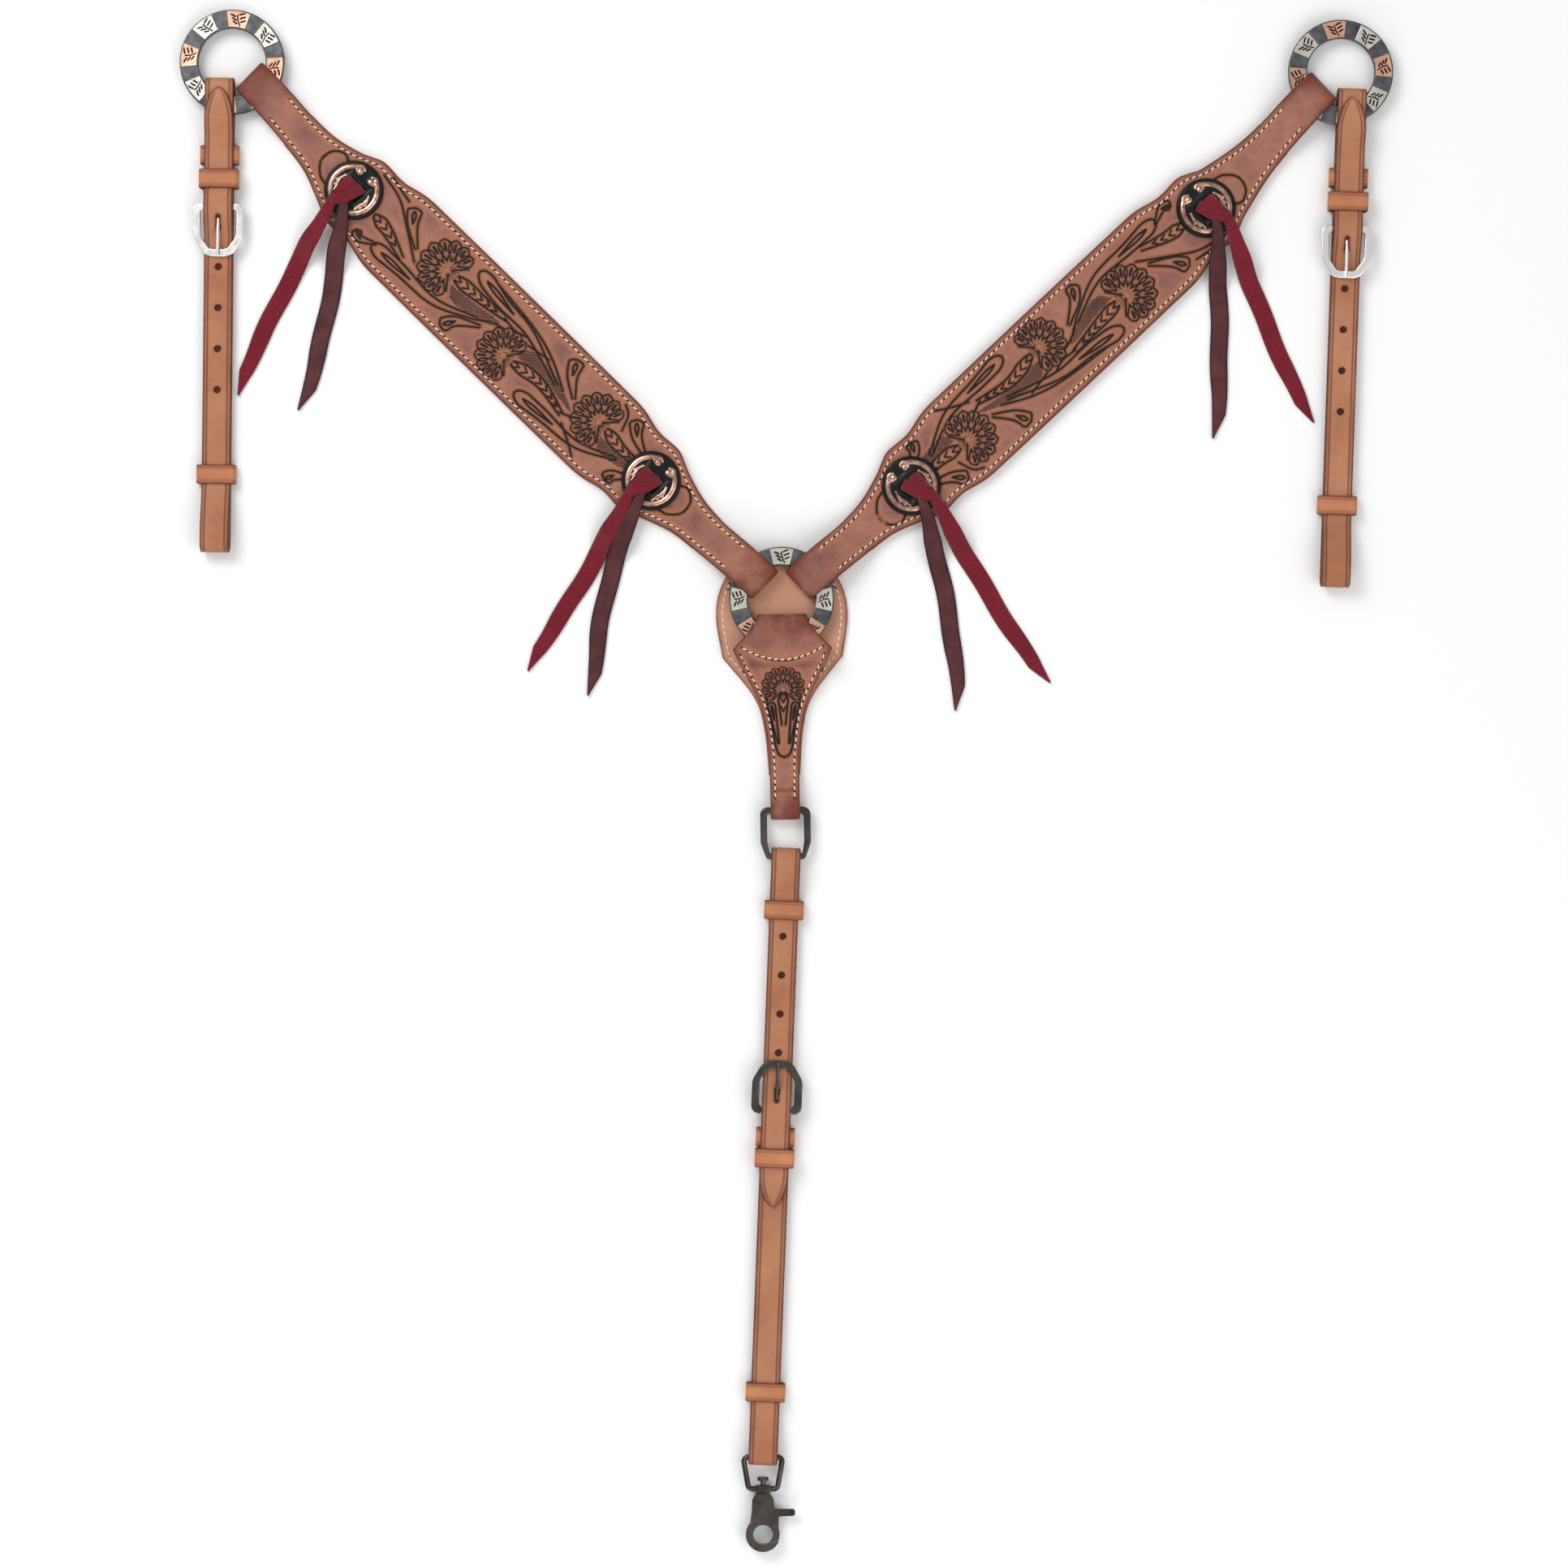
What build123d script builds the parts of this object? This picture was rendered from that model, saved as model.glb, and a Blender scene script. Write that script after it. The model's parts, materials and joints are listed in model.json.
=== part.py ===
from build123d import *
import os
from math import cos, radians, sin

# A western breast collar, lying flat with its tooled side up. Millimetres.
# Z = 0 is the surface that it lies on. Left and right are as seen from above, with +Y up.

# ---- rings ----
RING_OUTER_R = 34.2
RING_INNER_R = 22.0
RING_THICK = 4.4
PANEL_THICK = 0.4
PANEL_ANGLE = 27
SHOULDER_RING_Z = 4.8
CENTRE_RING_Z = 6.7

# ---- leather ----
LEATHER = 3.0
STRAP_LEATHER = 2.5
STRAP_HALF = 9.5
LAYER_GAP = 0.1
STRAP_LIFT = 1.8

# ---- layout, about the centre ring ----
CENTRE_X = -3.2
CENTRE_Y = 118.5
ARM_LENGTH = 501.5
LEFT_ARM_ANGLE = -44.35
RIGHT_ARM_ANGLE = 223.3
CENTRE_ANGLE = -89.0
STRAP_ANGLE = 87.8
LEFT_TUG_ANGLE = -90.6
RIGHT_TUG_ANGLE = -92.0
TUG_OFFSET = 7.8

# ---- centre piece and link ----
CENTRE_LENGTH = 137.8
LINK_Z = 6.25
LINK_LENGTH = 30.0
LINK_HALF_BAR = 2.2
BAR_PLAY = 1.0

# ---- tie-down strap: distances up from the snap's bar ----
STRAP_LENGTH = 392.7
STRAP_BUCKLE = 226.8
STRAP_TIP = 163.8
HOLE_PITCH = 25.4
HOLE_R = 2.0
FIRST_HOLE = 12.0
FREE_HOLES = 4

# ---- tugs: distances down from the shoulder ring's centre ----
LEFT_TUG = {"length": 319.0, "buckle": 94.6, "upper": 76.3, "fixed": 60.5, "lower": 269.0}
RIGHT_TUG = {"length": 335.0, "buckle": 102.0, "upper": 84.3, "fixed": 68.5, "lower": 282.5}
TUG_PITCH = 26.8
TUG_TIP = 17.0

# ---- buckles ----
BAR_R = 1.5
BAR_EYE = 1.7
EYE_OUTER = 3.3
FRAME_HALF = 16.5
FRAME_FACE = 5.0
FRAME_THICK = 2.6
FRAME_REACH = 32.4
TONGUE_R = 1.2

# ---- keepers ----
KEEPER_WIDTH = 12.4
KEEPER_HALF = 11.2
KEEPER_WALL = 1.6

# ---- conchos and laces ----
CONCHO_R = 19.5
CONCHO_THICK = 3.0
LACE_THICK = 1.8
LACE_HALF = 6.2
KNOT_R = 7.0
KNOT_SHIFT = (9.5, -6.0)

# ---- snap ----
SNAP_Z = 5.85
BOW_R = 1.8
BOW_HALF = 13.0
BOW_LENGTH = 20.7
HOOK_THICK = 6.0
EYE_AT = 50.4
EYE_R = 6.4
EYE_OUT = 11.2
PIVOT_AT = 31.3
GATE_THICK = 2.0
GATE_REACH = 24.9
SLOT_THICK = 3.6

BURIED = 60.0


def place(shape, x, y, angle, z=0.0):
    return Location((x, y, z), (0, 0, angle)) * shape


def out_from(start, angle, distance):
    return (start[0] + distance * cos(radians(angle)), start[1] + distance * sin(radians(angle)))


def strip_side(points, radii, half, side):
    """One edge of a folded strip: its centre line moved aside, with the corner radii to match."""
    moved = [offset_end(points[0], points[1], half, side)]
    rounds = []
    for before, here, after, radius in zip(points, points[1:], points[2:], radii):
        into = Vector(*here) - Vector(*before)
        away = Vector(*after) - Vector(*here)
        turn = into.get_signed_angle(away, Vector(0, 0, -1))
        bisector = (into.normalized() + away.normalized()).normalized()
        normal = Vector(-bisector.Y, bisector.X) * side
        corner = Vector(*here) + normal * (half / cos(radians(turn / 2)))
        moved.append((corner.X, corner.Y))
        outward = -1 if turn * side < 0 else 1
        rounds.append(max(radius + outward * half, 0.05))
    moved.append(offset_end(points[-1], points[-2], half, -side))
    return FilletPolyline(*moved, radius=rounds)


def offset_end(end, towards, half, side):
    along = (Vector(*towards) - Vector(*end)).normalized()
    return (end[0] - along.Y * half * side, end[1] + along.X * half * side)


def folded(points, radii, thick, half_width):
    """A strip of leather folded along a line in the XZ plane, and as wide as Y allows."""
    left = strip_side(points, radii, thick / 2, 1)
    right = strip_side(points, radii, thick / 2, -1)
    ends = [Line(left @ 0, right @ 0), Line(left @ 1, right @ 1)]
    face = make_face([*left.edges(), *right.edges(), *ends])
    return extrude(Plane.XZ * face, amount=half_width, both=True)


def plate(edges, low, high):
    """A flat plate between two heights, from its closed outline."""
    return Pos(0, 0, low) * extrude(make_face(edges), amount=high - low)


def outline(rows, flip=1):
    """A long outline from rows of distance, half width and sideways shift, through smooth sides."""
    upper = Spline(*[(x, flip * (shift + half)) for x, half, shift in rows])
    lower = Spline(*[(x, flip * (shift - half)) for x, half, shift in rows])
    return [upper, lower, Line(upper @ 0, lower @ 0), Line(upper @ 1, lower @ 1)]


# ---- rings ----


def ring(z):
    body = Cylinder(RING_OUTER_R, RING_THICK) - Cylinder(RING_INNER_R, RING_THICK)
    rims = body.edges().filter_by(GeomType.CIRCLE)
    return Pos(0, 0, z + RING_THICK / 2) * fillet(rims, 0.8)


def panels(z, first_angle):
    """Four raised leaf panels, a quarter turn apart."""
    inner, outer = RING_INNER_R + 0.9, RING_OUTER_R - 0.9
    half = PANEL_ANGLE / 2
    wedge = Polyline((0, 0), out_from((0, 0), -half, 60), out_from((0, 0), half, 60), close=True)
    band = Cylinder(outer, PANEL_THICK) - Cylinder(inner, PANEL_THICK)
    one = band & Pos(0, 0, -1) * extrude(make_face(wedge.edges()), amount=2)
    high = z + RING_THICK + PANEL_THICK / 2
    return [place(one, 0, 0, first_angle + 90 * k, high) for k in range(4)]


# ---- shoulder arms ----

ARM_END = ((10, 12.2, 1.4), (35, 12.6, 0.6), (62, 13.0, -1.5), (82, 14.8, -2.8))
ARM_SHOULDER = ((100, 20.4), (108, 23.8), (117, 27.0), (134, 26.4), (152, 30.2), (175, 30.7))
ARM_SHIFT = -4.2
ARM_MIDDLE = (ARM_LENGTH / 2, 30.9, ARM_SHIFT)
RING_END = ((82, 14.8, -3.8), (62, 13.0, -3.5), (35, 12.8, -1.8), (10, 12.3, -0.8))


def arm_rows(later):
    near = [(x + later, half, ARM_SHIFT) for x, half in ARM_SHOULDER]
    far = [(ARM_LENGTH - x, half, ARM_SHIFT) for x, half in reversed(ARM_SHOULDER)]
    end = [(ARM_LENGTH - x, half, shift) for x, half, shift in RING_END]
    return [*ARM_END, *near, ARM_MIDDLE, *far, *end]


def arm_front(flip, later, conchos):
    far = ARM_LENGTH
    line = [
        (60, 1.5), (14.9, 1.5), (14.9, 11.5), (38, 11.5), (62, 4.55), (far - 68, 4.55),
        (far - 40, 13.8), (far - 15.0, 13.8), (far - 15.0, 4.8), (far - 48, 4.8),
        (far - 60, 1.5), (far - 64, 1.5),
    ]
    radii = [4.5, 4.5, 20, 20, 20, 20, 4, 4, 10, 10]
    strip = folded(line, radii, LEATHER, BURIED)
    front = strip & plate(outline(arm_rows(later), flip), -1, 30)
    for centre in conchos:
        for leg in (-LACE_LEG, LACE_LEG):
            front -= Pos(centre, flip * ARM_SHIFT + leg, 4.5) * Box(10.2, 2.6, 6)
    return front


def arm_lining(flip, later, conchos):
    lining = plate(outline(arm_rows(later), flip), 0, LEATHER) & Pos(ARM_LENGTH / 2 - 2, 0, 0) * Box(
        ARM_LENGTH - 126, 2 * BURIED, 20
    )
    for centre in conchos:
        lining -= Pos(centre, flip * ARM_SHIFT, 2) * Box(10.6, 2 * LACE_LEG + 3.2, 2.4)
    return lining


# ---- conchos and laces ----

LACE_LEG = 4.4
ARM_TOP = 6.05


def concho():
    body = Cylinder(CONCHO_R, CONCHO_THICK)
    body = fillet(body.edges().group_by(Axis.Z)[-1], 1.2)
    for side in (-1, 1):
        body -= Pos(0, side * LACE_LEG, 0) * Box(12.5, 4.6, 10)
    return Pos(0, 0, ARM_TOP + 0.05 + CONCHO_THICK / 2) * body


def knot(reach):
    """The lace's middle: under the front leather, up both slots, over the bar and into a knot."""
    half = LACE_THICK / 2
    parts = Pos(0, 0, 1.9) * Box(9.6, 2 * (LACE_LEG + half), LACE_THICK)
    for side in (-1, 1):
        parts += Pos(0, side * LACE_LEG, 5.9) * Box(9.6, LACE_THICK, 8.2)
    parts += Pos(0, 0, 10.3) * Box(9.6, 2 * (LACE_LEG + half), LACE_THICK)
    bulge = Pos(reach[0], reach[1], 11.5) * Cylinder(KNOT_R, 3.8)
    return parts + fillet(bulge.edges().filter_by(GeomType.CIRCLE), 1.2)


def tail(length, lean):
    """One loose end: off the knot, over the concho's rim and the arm's edge, then on the surface."""
    line = [(KNOT_R + 0.8, 11.3), (13, 11.3), (18, 7.6), (35, 7.6), (47, 0.95), (length, 0.95)]
    strip = folded(line, [4, 4, 6, 6], LACE_THICK, 20)
    wide = LACE_HALF
    shape = Polyline(
        (0, -3), (28, -wide), (length - 26, -wide * 0.9), (length, lean * wide * 0.7),
        (length - 14, wide * 0.75), (28, wide), (0, 3), close=True,
    )
    return strip & plate(shape.edges(), -5, 20)


# ---- centre piece ----

SHOULDER = (32.4, 32.4)
PAD_CORNER = (37.5, 39.3)


def both_sides(rows):
    """The same smooth edge on each side of X, from rows of distance and half width."""
    return [Spline(*[(x, side * y) for x, y in rows]) for side in (-1, 1)]


def centre_front():
    far = CENTRE_LENGTH
    drop = BAR_PLAY + LINK_HALF_BAR + LEATHER / 2
    line = [
        (50, 4.6), (11.2, 4.6), (11.2, 13.8), (39, 13.8), (44, 7.75), (54, 7.75), (64, 4.6),
        (far - 26, 4.6), (far - 6, LINK_Z + drop), (far + drop, LINK_Z + drop),
        (far + drop, LINK_Z - drop), (far - 22, LINK_Z - drop),
    ]
    strip = folded(line, [4, 4, 4, 4, 10, 10, 14, 14, 4.5, 4.5], LEATHER, BURIED)
    neck = both_sides([
        SHOULDER, (44, 27), (51, 23.2), (61.2, 18.2), (71.4, 14.5), (81.5, 12.4),
        (91.7, 11.1), (107.9, 9.8), (far + 8, 9.5),
    ])
    flare = both_sides([(5, 16.6), (13.6, 16.8), (22, 22.5), SHOULDER])
    ends = [Line(flare[0] @ 0, flare[1] @ 0), Line(neck[0] @ 1, neck[1] @ 1)]
    return strip & plate([*neck, *flare, *ends], -1, 30)


def backing_pad():
    neck = both_sides([
        PAD_CORNER, (51, 28.2), (61.2, 20.6), (71.4, 15.6), (81.5, 13.3), (91.7, 11.8),
        (CENTRE_LENGTH - 23, 10.2),
    ])
    rows = [(-26, 25), (-10.8, 38.5), (10, 43), PAD_CORNER]
    mirrored = [(x, -y) for x, y in reversed(rows)]
    around = Spline(*mirrored, (-33.5, 0), *rows)
    return plate([*neck, around, Line(neck[0] @ 1, neck[1] @ 1)], 0, LEATHER)


# ---- metal frames ----


def frame_plate(half, face, reach, bar_half, end_half, thick):
    """A flat D-shaped frame: a bar at X = 0 and a narrower end at X = reach."""
    outer = FilletPolyline(
        (-bar_half, -half), (-bar_half, half), (reach * 0.6, half), (reach, end_half),
        (reach, -end_half), (reach * 0.6, -half),
        radius=[5, 5, 12, 9, 9, 12], close=True,
    )
    in_half, in_reach = half - face, reach - face
    inner = FilletPolyline(
        (bar_half, -in_half), (bar_half, in_half), (reach * 0.6, in_half),
        (in_reach, end_half - 3.4), (in_reach, 3.4 - end_half), (reach * 0.6, -in_half),
        radius=[2, 2, 7, 4, 4, 7], close=True,
    )
    solid = plate(outer.edges(), -thick / 2, thick / 2) - plate(inner.edges(), -thick, thick)
    flat = solid.edges().group_by(Axis.Z)
    return fillet([*flat[0], *flat[-1]], thick * 0.3)


def link():
    """The halter square: like a buckle frame, with both ends straight enough to carry a strap."""
    thick = 4.0
    reach = LINK_LENGTH + LINK_HALF_BAR
    outer = FilletPolyline(
        (-LINK_HALF_BAR, -16.5), (-LINK_HALF_BAR, 16.5), (reach - 11, 16.5), (reach, 12.5),
        (reach, -12.5), (reach - 11, -16.5), radius=[5, 5, 8, 3, 3, 8], close=True,
    )
    far = LINK_LENGTH - LINK_HALF_BAR
    inner = FilletPolyline(
        (LINK_HALF_BAR, -12), (LINK_HALF_BAR, 12), (far - 8, 12), (far, 10.8), (far, -10.8),
        (far - 8, -12), radius=[2, 2, 3, 1, 1, 3], close=True,
    )
    solid = plate(outer.edges(), -thick / 2, thick / 2) - plate(inner.edges(), -thick, thick)
    flat = solid.edges().group_by(Axis.Z)
    return Pos(0, 0, LINK_Z) * fillet([*flat[0], *flat[-1]], 1.1)


# ---- buckled straps ----

BACK_Z = STRAP_LIFT + STRAP_LEATHER / 2
UNDER_Z = BACK_Z + STRAP_LEATHER + LAYER_GAP
TOP_Z = UNDER_Z + STRAP_LEATHER + 1.6
BAR_Z = UNDER_Z - STRAP_LEATHER / 2 + EYE_OUTER
HUMP_Z = BAR_Z + EYE_OUTER + LAYER_GAP + STRAP_LEATHER / 2
FRAME_Z = UNDER_Z + STRAP_LEATHER / 2 + 0.2 + FRAME_THICK / 2
DIP_Z = 1.9


def buckled(line, radii, buckle, tip, tip_z, pitch):
    """A strap folded back through its own buckle, from the buckle's eye to the pointed tip."""
    body = folded(line, radii, STRAP_LEATHER, STRAP_HALF)
    eye = Cylinder(EYE_OUTER, 2 * STRAP_HALF) - Cylinder(BAR_EYE, 2 * STRAP_HALF)
    body += Pos(buckle, 0, BAR_Z) * Rot(90, 0, 0) * eye
    body -= Pos(buckle, 0, BAR_Z) * Box(9.4, 3.8, 2 * EYE_OUTER + 0.1)
    slot = SlotOverall(13.4, 3.4)
    body -= Pos(buckle + 12, 0, UNDER_Z + 1.4) * extrude(slot, amount=20)
    for k in range(1, FREE_HOLES + 1):
        at = buckle + FIRST_HOLE + k * pitch
        body -= Pos(at, 0, UNDER_Z) * Cylinder(HOLE_R, STRAP_LEATHER + 0.1)
    for side in (-1, 1):
        wedge = Polyline(
            (tip - 1, side * 1.2), (tip + 4, side * 4.5), (tip + 18, side * (STRAP_HALF + 0.1)),
            (tip - 1, side * (STRAP_HALF + 0.1)), close=True,
        )
        body -= plate(wedge.edges(), tip_z - STRAP_LEATHER / 2 - 0.05, tip_z + 3)
    return body


def hump(buckle):
    """The top layer going over the buckle's bar and under the far end of its frame."""
    return [(buckle - 12, TOP_Z), (buckle - 5, HUMP_Z), (buckle + 4, HUMP_Z), (buckle + 18, UNDER_Z)]


def tug_strap(tug):
    end, buckle = tug["length"], tug["buckle"]
    over_ring = SHOULDER_RING_Z + RING_THICK + PANEL_THICK + 0.4 + STRAP_LEATHER / 2
    on_top = over_ring + STRAP_LEATHER + LAYER_GAP
    line = [
        (buckle - 2.6, UNDER_Z), (46, UNDER_Z), (37, over_ring), (11.3, over_ring),
        (11.3, BACK_Z), (end, BACK_Z), (end, 14.05), (end - 16, 14.05), (end - 42, UNDER_Z),
        *reversed(hump(buckle)), (48, TOP_Z), (38, on_top), (TUG_TIP, on_top),
    ]
    radii = [6, 6, 4, 4, 5.4, 5.4, 15, 15, 8, 5, 3, 5, 6, 6]
    return buckled(line, radii, buckle, TUG_TIP, on_top, TUG_PITCH)


def tie_down_strap():
    end, buckle = STRAP_LENGTH, STRAP_BUCKLE
    bow_reach = BOW_R + BAR_PLAY + STRAP_LEATHER / 2
    link_reach = LINK_HALF_BAR + BAR_PLAY + STRAP_LEATHER / 2
    over_bow, over_link = DIP_Z + 2 * bow_reach, DIP_Z + 2 * link_reach
    line = [
        (buckle - 2.6, UNDER_Z), (24, UNDER_Z), (6, over_bow), (-bow_reach, over_bow),
        (-bow_reach, DIP_Z), (14, DIP_Z), (28, BACK_Z), (end - 30, BACK_Z), (end - 16, DIP_Z),
        (end + link_reach, DIP_Z), (end + link_reach, over_link), (end - 6, over_link),
        (end - 24, UNDER_Z), *reversed(hump(buckle)), (192, TOP_Z), (178, UNDER_Z + 2.6),
        (STRAP_TIP, UNDER_Z + 2.6),
    ]
    radii = [12, 8, 3.9, 3.9, 12, 12, 12, 12, 4.3, 4.3, 8, 12, 8, 5, 3, 5, 10, 10]
    return buckled(line, radii, buckle, STRAP_TIP, UNDER_Z + 2.6, HOLE_PITCH)


def keeper(at, top, low=0.0, wall=KEEPER_WALL):
    """A leather band round the strap's layers."""
    high = top + 0.25 + wall
    outer_half = KEEPER_HALF + 1.9
    size = (high - low) / 2
    outer = Pos(0, 0, low + size) * Box(KEEPER_WIDTH, 2 * outer_half, high - low)
    outer = fillet(outer.edges().filter_by(Axis.X), 2.2)
    space = top + 0.25 - low - KEEPER_WALL
    inner = Pos(0, 0, low + KEEPER_WALL + space / 2) * Box(20, 2 * KEEPER_HALF, space)
    return Pos(at, 0, 0) * (outer - inner)


TWO_LAYERS = UNDER_Z + STRAP_LEATHER / 2
THREE_LAYERS = TOP_Z + STRAP_LEATHER / 2


def buckle_frame(at):
    body = frame_plate(FRAME_HALF, FRAME_FACE, FRAME_REACH, 2.4, 9.0, FRAME_THICK)
    body -= Box(12, 2 * (STRAP_HALF + 0.5), 20)
    body = Pos(0, 0, FRAME_Z) * body
    body += Pos(0, 0, BAR_Z) * Rot(90, 0, 0) * Cylinder(BAR_R, 2 * (STRAP_HALF + 3))
    return Pos(at, 0, 0) * body


def tongue(at):
    line = FilletPolyline((1.5, 0.9), (9, 1.2), (15, 3.1), (31.5, 3.35), radius=[8, 8])
    rod = sweep(Plane(line @ 0, z_dir=line % 0) * Circle(TONGUE_R), path=line)
    rod = Rot(90, 0, 0) * rod
    eye = Rot(90, 0, 0) * (Cylinder(2.9, 3.0) - Cylinder(BAR_EYE - 0.15, 3.0))
    rod -= Rot(90, 0, 0) * Cylinder(BAR_EYE - 0.15, 6.0)
    return Pos(at, 0, BAR_Z) * (eye + rod)


# ---- snap: X runs down from its bar ----


def snap_bow():
    line = FilletPolyline(
        (0, -BOW_HALF), (0, BOW_HALF), (BOW_LENGTH, 9.4), (BOW_LENGTH, -9.4),
        radius=[3.0, 3.0, 2.6, 2.6], close=True,
    )
    path = Wire(line.edges())
    start = path @ 0
    wire = sweep(Plane(start, z_dir=path % 0) * Circle(BOW_R), path=path)
    boss = Pos(BOW_LENGTH, 0, 0) * Box(5.0, 10, 5.0)
    boss = fillet(boss.edges(), 0.8)
    hole = Pos(BOW_LENGTH, 0, 0) * Rot(0, 90, 0) * Cylinder(1.8, 12)
    return Pos(0, 0, SNAP_Z) * (wire + boss - hole)


def swivel_stud():
    shank = Pos(19.2, 0, 0) * Rot(0, 90, 0) * Cylinder(1.7, 8.8)
    head = Pos(14.0, 0, 0) * Rot(0, 90, 0) * Cylinder(3.7, 2.4)
    return Pos(0, 0, SNAP_Z) * (shank + fillet(head.edges().group_by(Axis.X)[0], 0.9))


def hook_body():
    neck = Polyline(
        (23.6, -4.6), (23.6, 4.6), (27.5, 7.0), (36, 7.4), (42, 8.2), (44, 0), (42, -8.2),
        (36, -7.4), (27.5, -7.0), close=True,
    )
    body = plate(neck.edges(), -HOOK_THICK / 2, HOOK_THICK / 2)
    body += Pos(EYE_AT, 0, 0) * Cylinder(EYE_OUT, HOOK_THICK)
    body -= Pos(EYE_AT, 0, 0) * Cylinder(EYE_R, 20)
    gap = Polyline((EYE_AT, 0), (EYE_AT - 24, 26), (EYE_AT + 13, 30), (EYE_AT + 15, 6.5), close=True)
    body -= plate(gap.edges(), -10, 10) & Pos(PIVOT_AT, 0, 0) * Cylinder(GATE_REACH + 0.4, 30)
    slot = Polyline((26.6, -5.0), (26.6, 20), (47.5, 20), (47.5, 2.5), (38.5, -5.0), close=True)
    body -= plate(slot.edges(), -SLOT_THICK / 2, SLOT_THICK / 2)
    body -= Pos(PIVOT_AT, 0, 0) * Cylinder(1.5, 20)
    return Pos(0, 0, SNAP_Z) * body


def rivet():
    pin = Cylinder(1.5, HOOK_THICK + 1.6)
    for side in (-1, 1):
        head = Cylinder(3.1, 0.8)
        pin += Pos(0, 0, side * (HOOK_THICK / 2 + 0.4)) * head
    return Pos(PIVOT_AT, 0, SNAP_Z) * pin


def gate():
    """The sprung gate: a hub on the rivet, an arm down the eye's open side and a thumb lever."""
    hub = Cylinder(4.2, GATE_THICK)
    hub = Pos(PIVOT_AT, 0, 0) * hub
    band = Cylinder(EYE_OUT - 0.3, GATE_THICK) - Cylinder(EYE_R, 20)
    sector = Polyline(
        (EYE_AT, 0), (EYE_AT - 30, 8), (EYE_AT - 30, 34), (EYE_AT + 14, 34), (EYE_AT + 15, 7.4), close=True
    )
    arm = Pos(EYE_AT, 0, 0) * band & plate(sector.edges(), -GATE_THICK / 2, GATE_THICK / 2)
    arm &= Pos(PIVOT_AT, 0, 0) * Cylinder(GATE_REACH, 20)
    bridge = Polyline((PIVOT_AT - 1, 3.0), (PIVOT_AT + 4, 10.6), (EYE_AT - 4, 10.2), (EYE_AT - 7, 3.2),
                      (PIVOT_AT + 3, -2), close=True)
    web = plate(bridge.edges(), -GATE_THICK / 2, GATE_THICK / 2)
    lever = FilletPolyline((PIVOT_AT + 2.4, 7), (PIVOT_AT + 2.6, 21), (PIVOT_AT + 7, 21),
                           (PIVOT_AT + 7.6, 7), radius=1.6, close=True)
    body = hub + arm + (web - Pos(EYE_AT, 0, 0) * Cylinder(EYE_R, 20))
    body += plate(lever.edges(), -GATE_THICK / 2, GATE_THICK / 2)
    body -= Pos(PIVOT_AT, 0, 0) * Cylinder(1.56, 20)
    return Pos(0, 0, SNAP_Z) * body


def gate_spring():
    """A one-turn torsion spring in the slot, on top of the gate's hub."""
    coil = Torus(2.5, 0.3)
    leg = Pos(2.5, -1.4, 0) * Rot(90, 0, 0) * Cylinder(0.3, 2.8)
    return Pos(PIVOT_AT, 0, SNAP_Z + GATE_THICK / 2 + 0.36) * (coil + leg)


# ---- the whole collar ----

nodes = {}
centre = (CENTRE_X, CENTRE_Y)
ARMS = {
    "left": {"angle": LEFT_ARM_ANGLE, "flip": 1, "tug": LEFT_TUG, "tug_angle": LEFT_TUG_ANGLE,
             "later": 0.0, "conchos": (115.0, 386.5), "copper": 82,
             "upper": ((144, 27.0), (140, 11.5)), "lower": ((138, 30.5), (138, 13.6))},
    "right": {"angle": RIGHT_ARM_ANGLE, "flip": -1, "tug": RIGHT_TUG, "tug_angle": RIGHT_TUG_ANGLE,
              "later": 8.0, "conchos": (124.5, 389.0), "copper": 98,
             "upper": ((147, 22.5), (144, 0.8)), "lower": ((147, 31.5), (142, 10.5))},
}

for side, arm in ARMS.items():
    flip, angle = arm["flip"], arm["angle"]
    top_ring = out_from(centre, angle + 180, ARM_LENGTH)
    arm["ring"] = top_ring
    shape = (flip, arm["later"], arm["conchos"])
    nodes[f"{side}_arm_front"] = place(arm_front(*shape), *top_ring, angle)
    nodes[f"{side}_arm_lining"] = place(arm_lining(*shape), *top_ring, angle)
    for level, along in zip(("upper", "lower"), arm["conchos"]):
        across = flip * ARM_SHIFT
        middle = out_from(out_from(top_ring, angle, along), angle + 90, across)
        nodes[f"{side}_{level}_concho"] = place(concho(), *middle, angle)
        shift = Vector(-flip * KNOT_SHIFT[0], KNOT_SHIFT[1])
        reach = shift.rotate(Axis.Z, -angle)
        nodes[f"{side}_{level}_lace_knot"] = place(knot((reach.X, reach.Y)), *middle, angle)
        knot_at = (middle[0] + shift.X, middle[1] + shift.Y)
        for name, (length, swing), lean in zip(("outer", "inner"), arm[level], (1, -1)):
            heading = -90 - flip * swing
            start = out_from(knot_at, heading - 90, lean * flip * 3.5)
            nodes[f"{side}_{level}_lace_{name}_tail"] = place(tail(length, lean), *start, heading)
    nodes[f"{side}_ring"] = place(ring(SHOULDER_RING_Z), *top_ring, 0)
    nodes[f"{side}_ring_copper_panels"] = [
        place(p, *top_ring, 0) for p in panels(SHOULDER_RING_Z, arm["copper"])
    ]
    nodes[f"{side}_ring_silver_panels"] = [
        place(p, *top_ring, 0) for p in panels(SHOULDER_RING_Z, arm["copper"] + 45)
    ]
    tug, aside = arm["tug"], -flip * TUG_OFFSET
    pieces = {
        "strap": tug_strap(tug),
        "buckle_frame": buckle_frame(tug["buckle"]),
        "buckle_tongue": tongue(tug["buckle"]),
        "upper_keeper": keeper(tug["upper"], THREE_LAYERS),
        "fixed_keeper": keeper(tug["fixed"], TWO_LAYERS, wall=1.2),
        "lower_keeper": keeper(tug["lower"], TWO_LAYERS),
    }
    for name, piece in pieces.items():
        nodes[f"{side}_tug_{name}"] = place(Pos(0, aside, 0) * piece, *top_ring, arm["tug_angle"])

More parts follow.
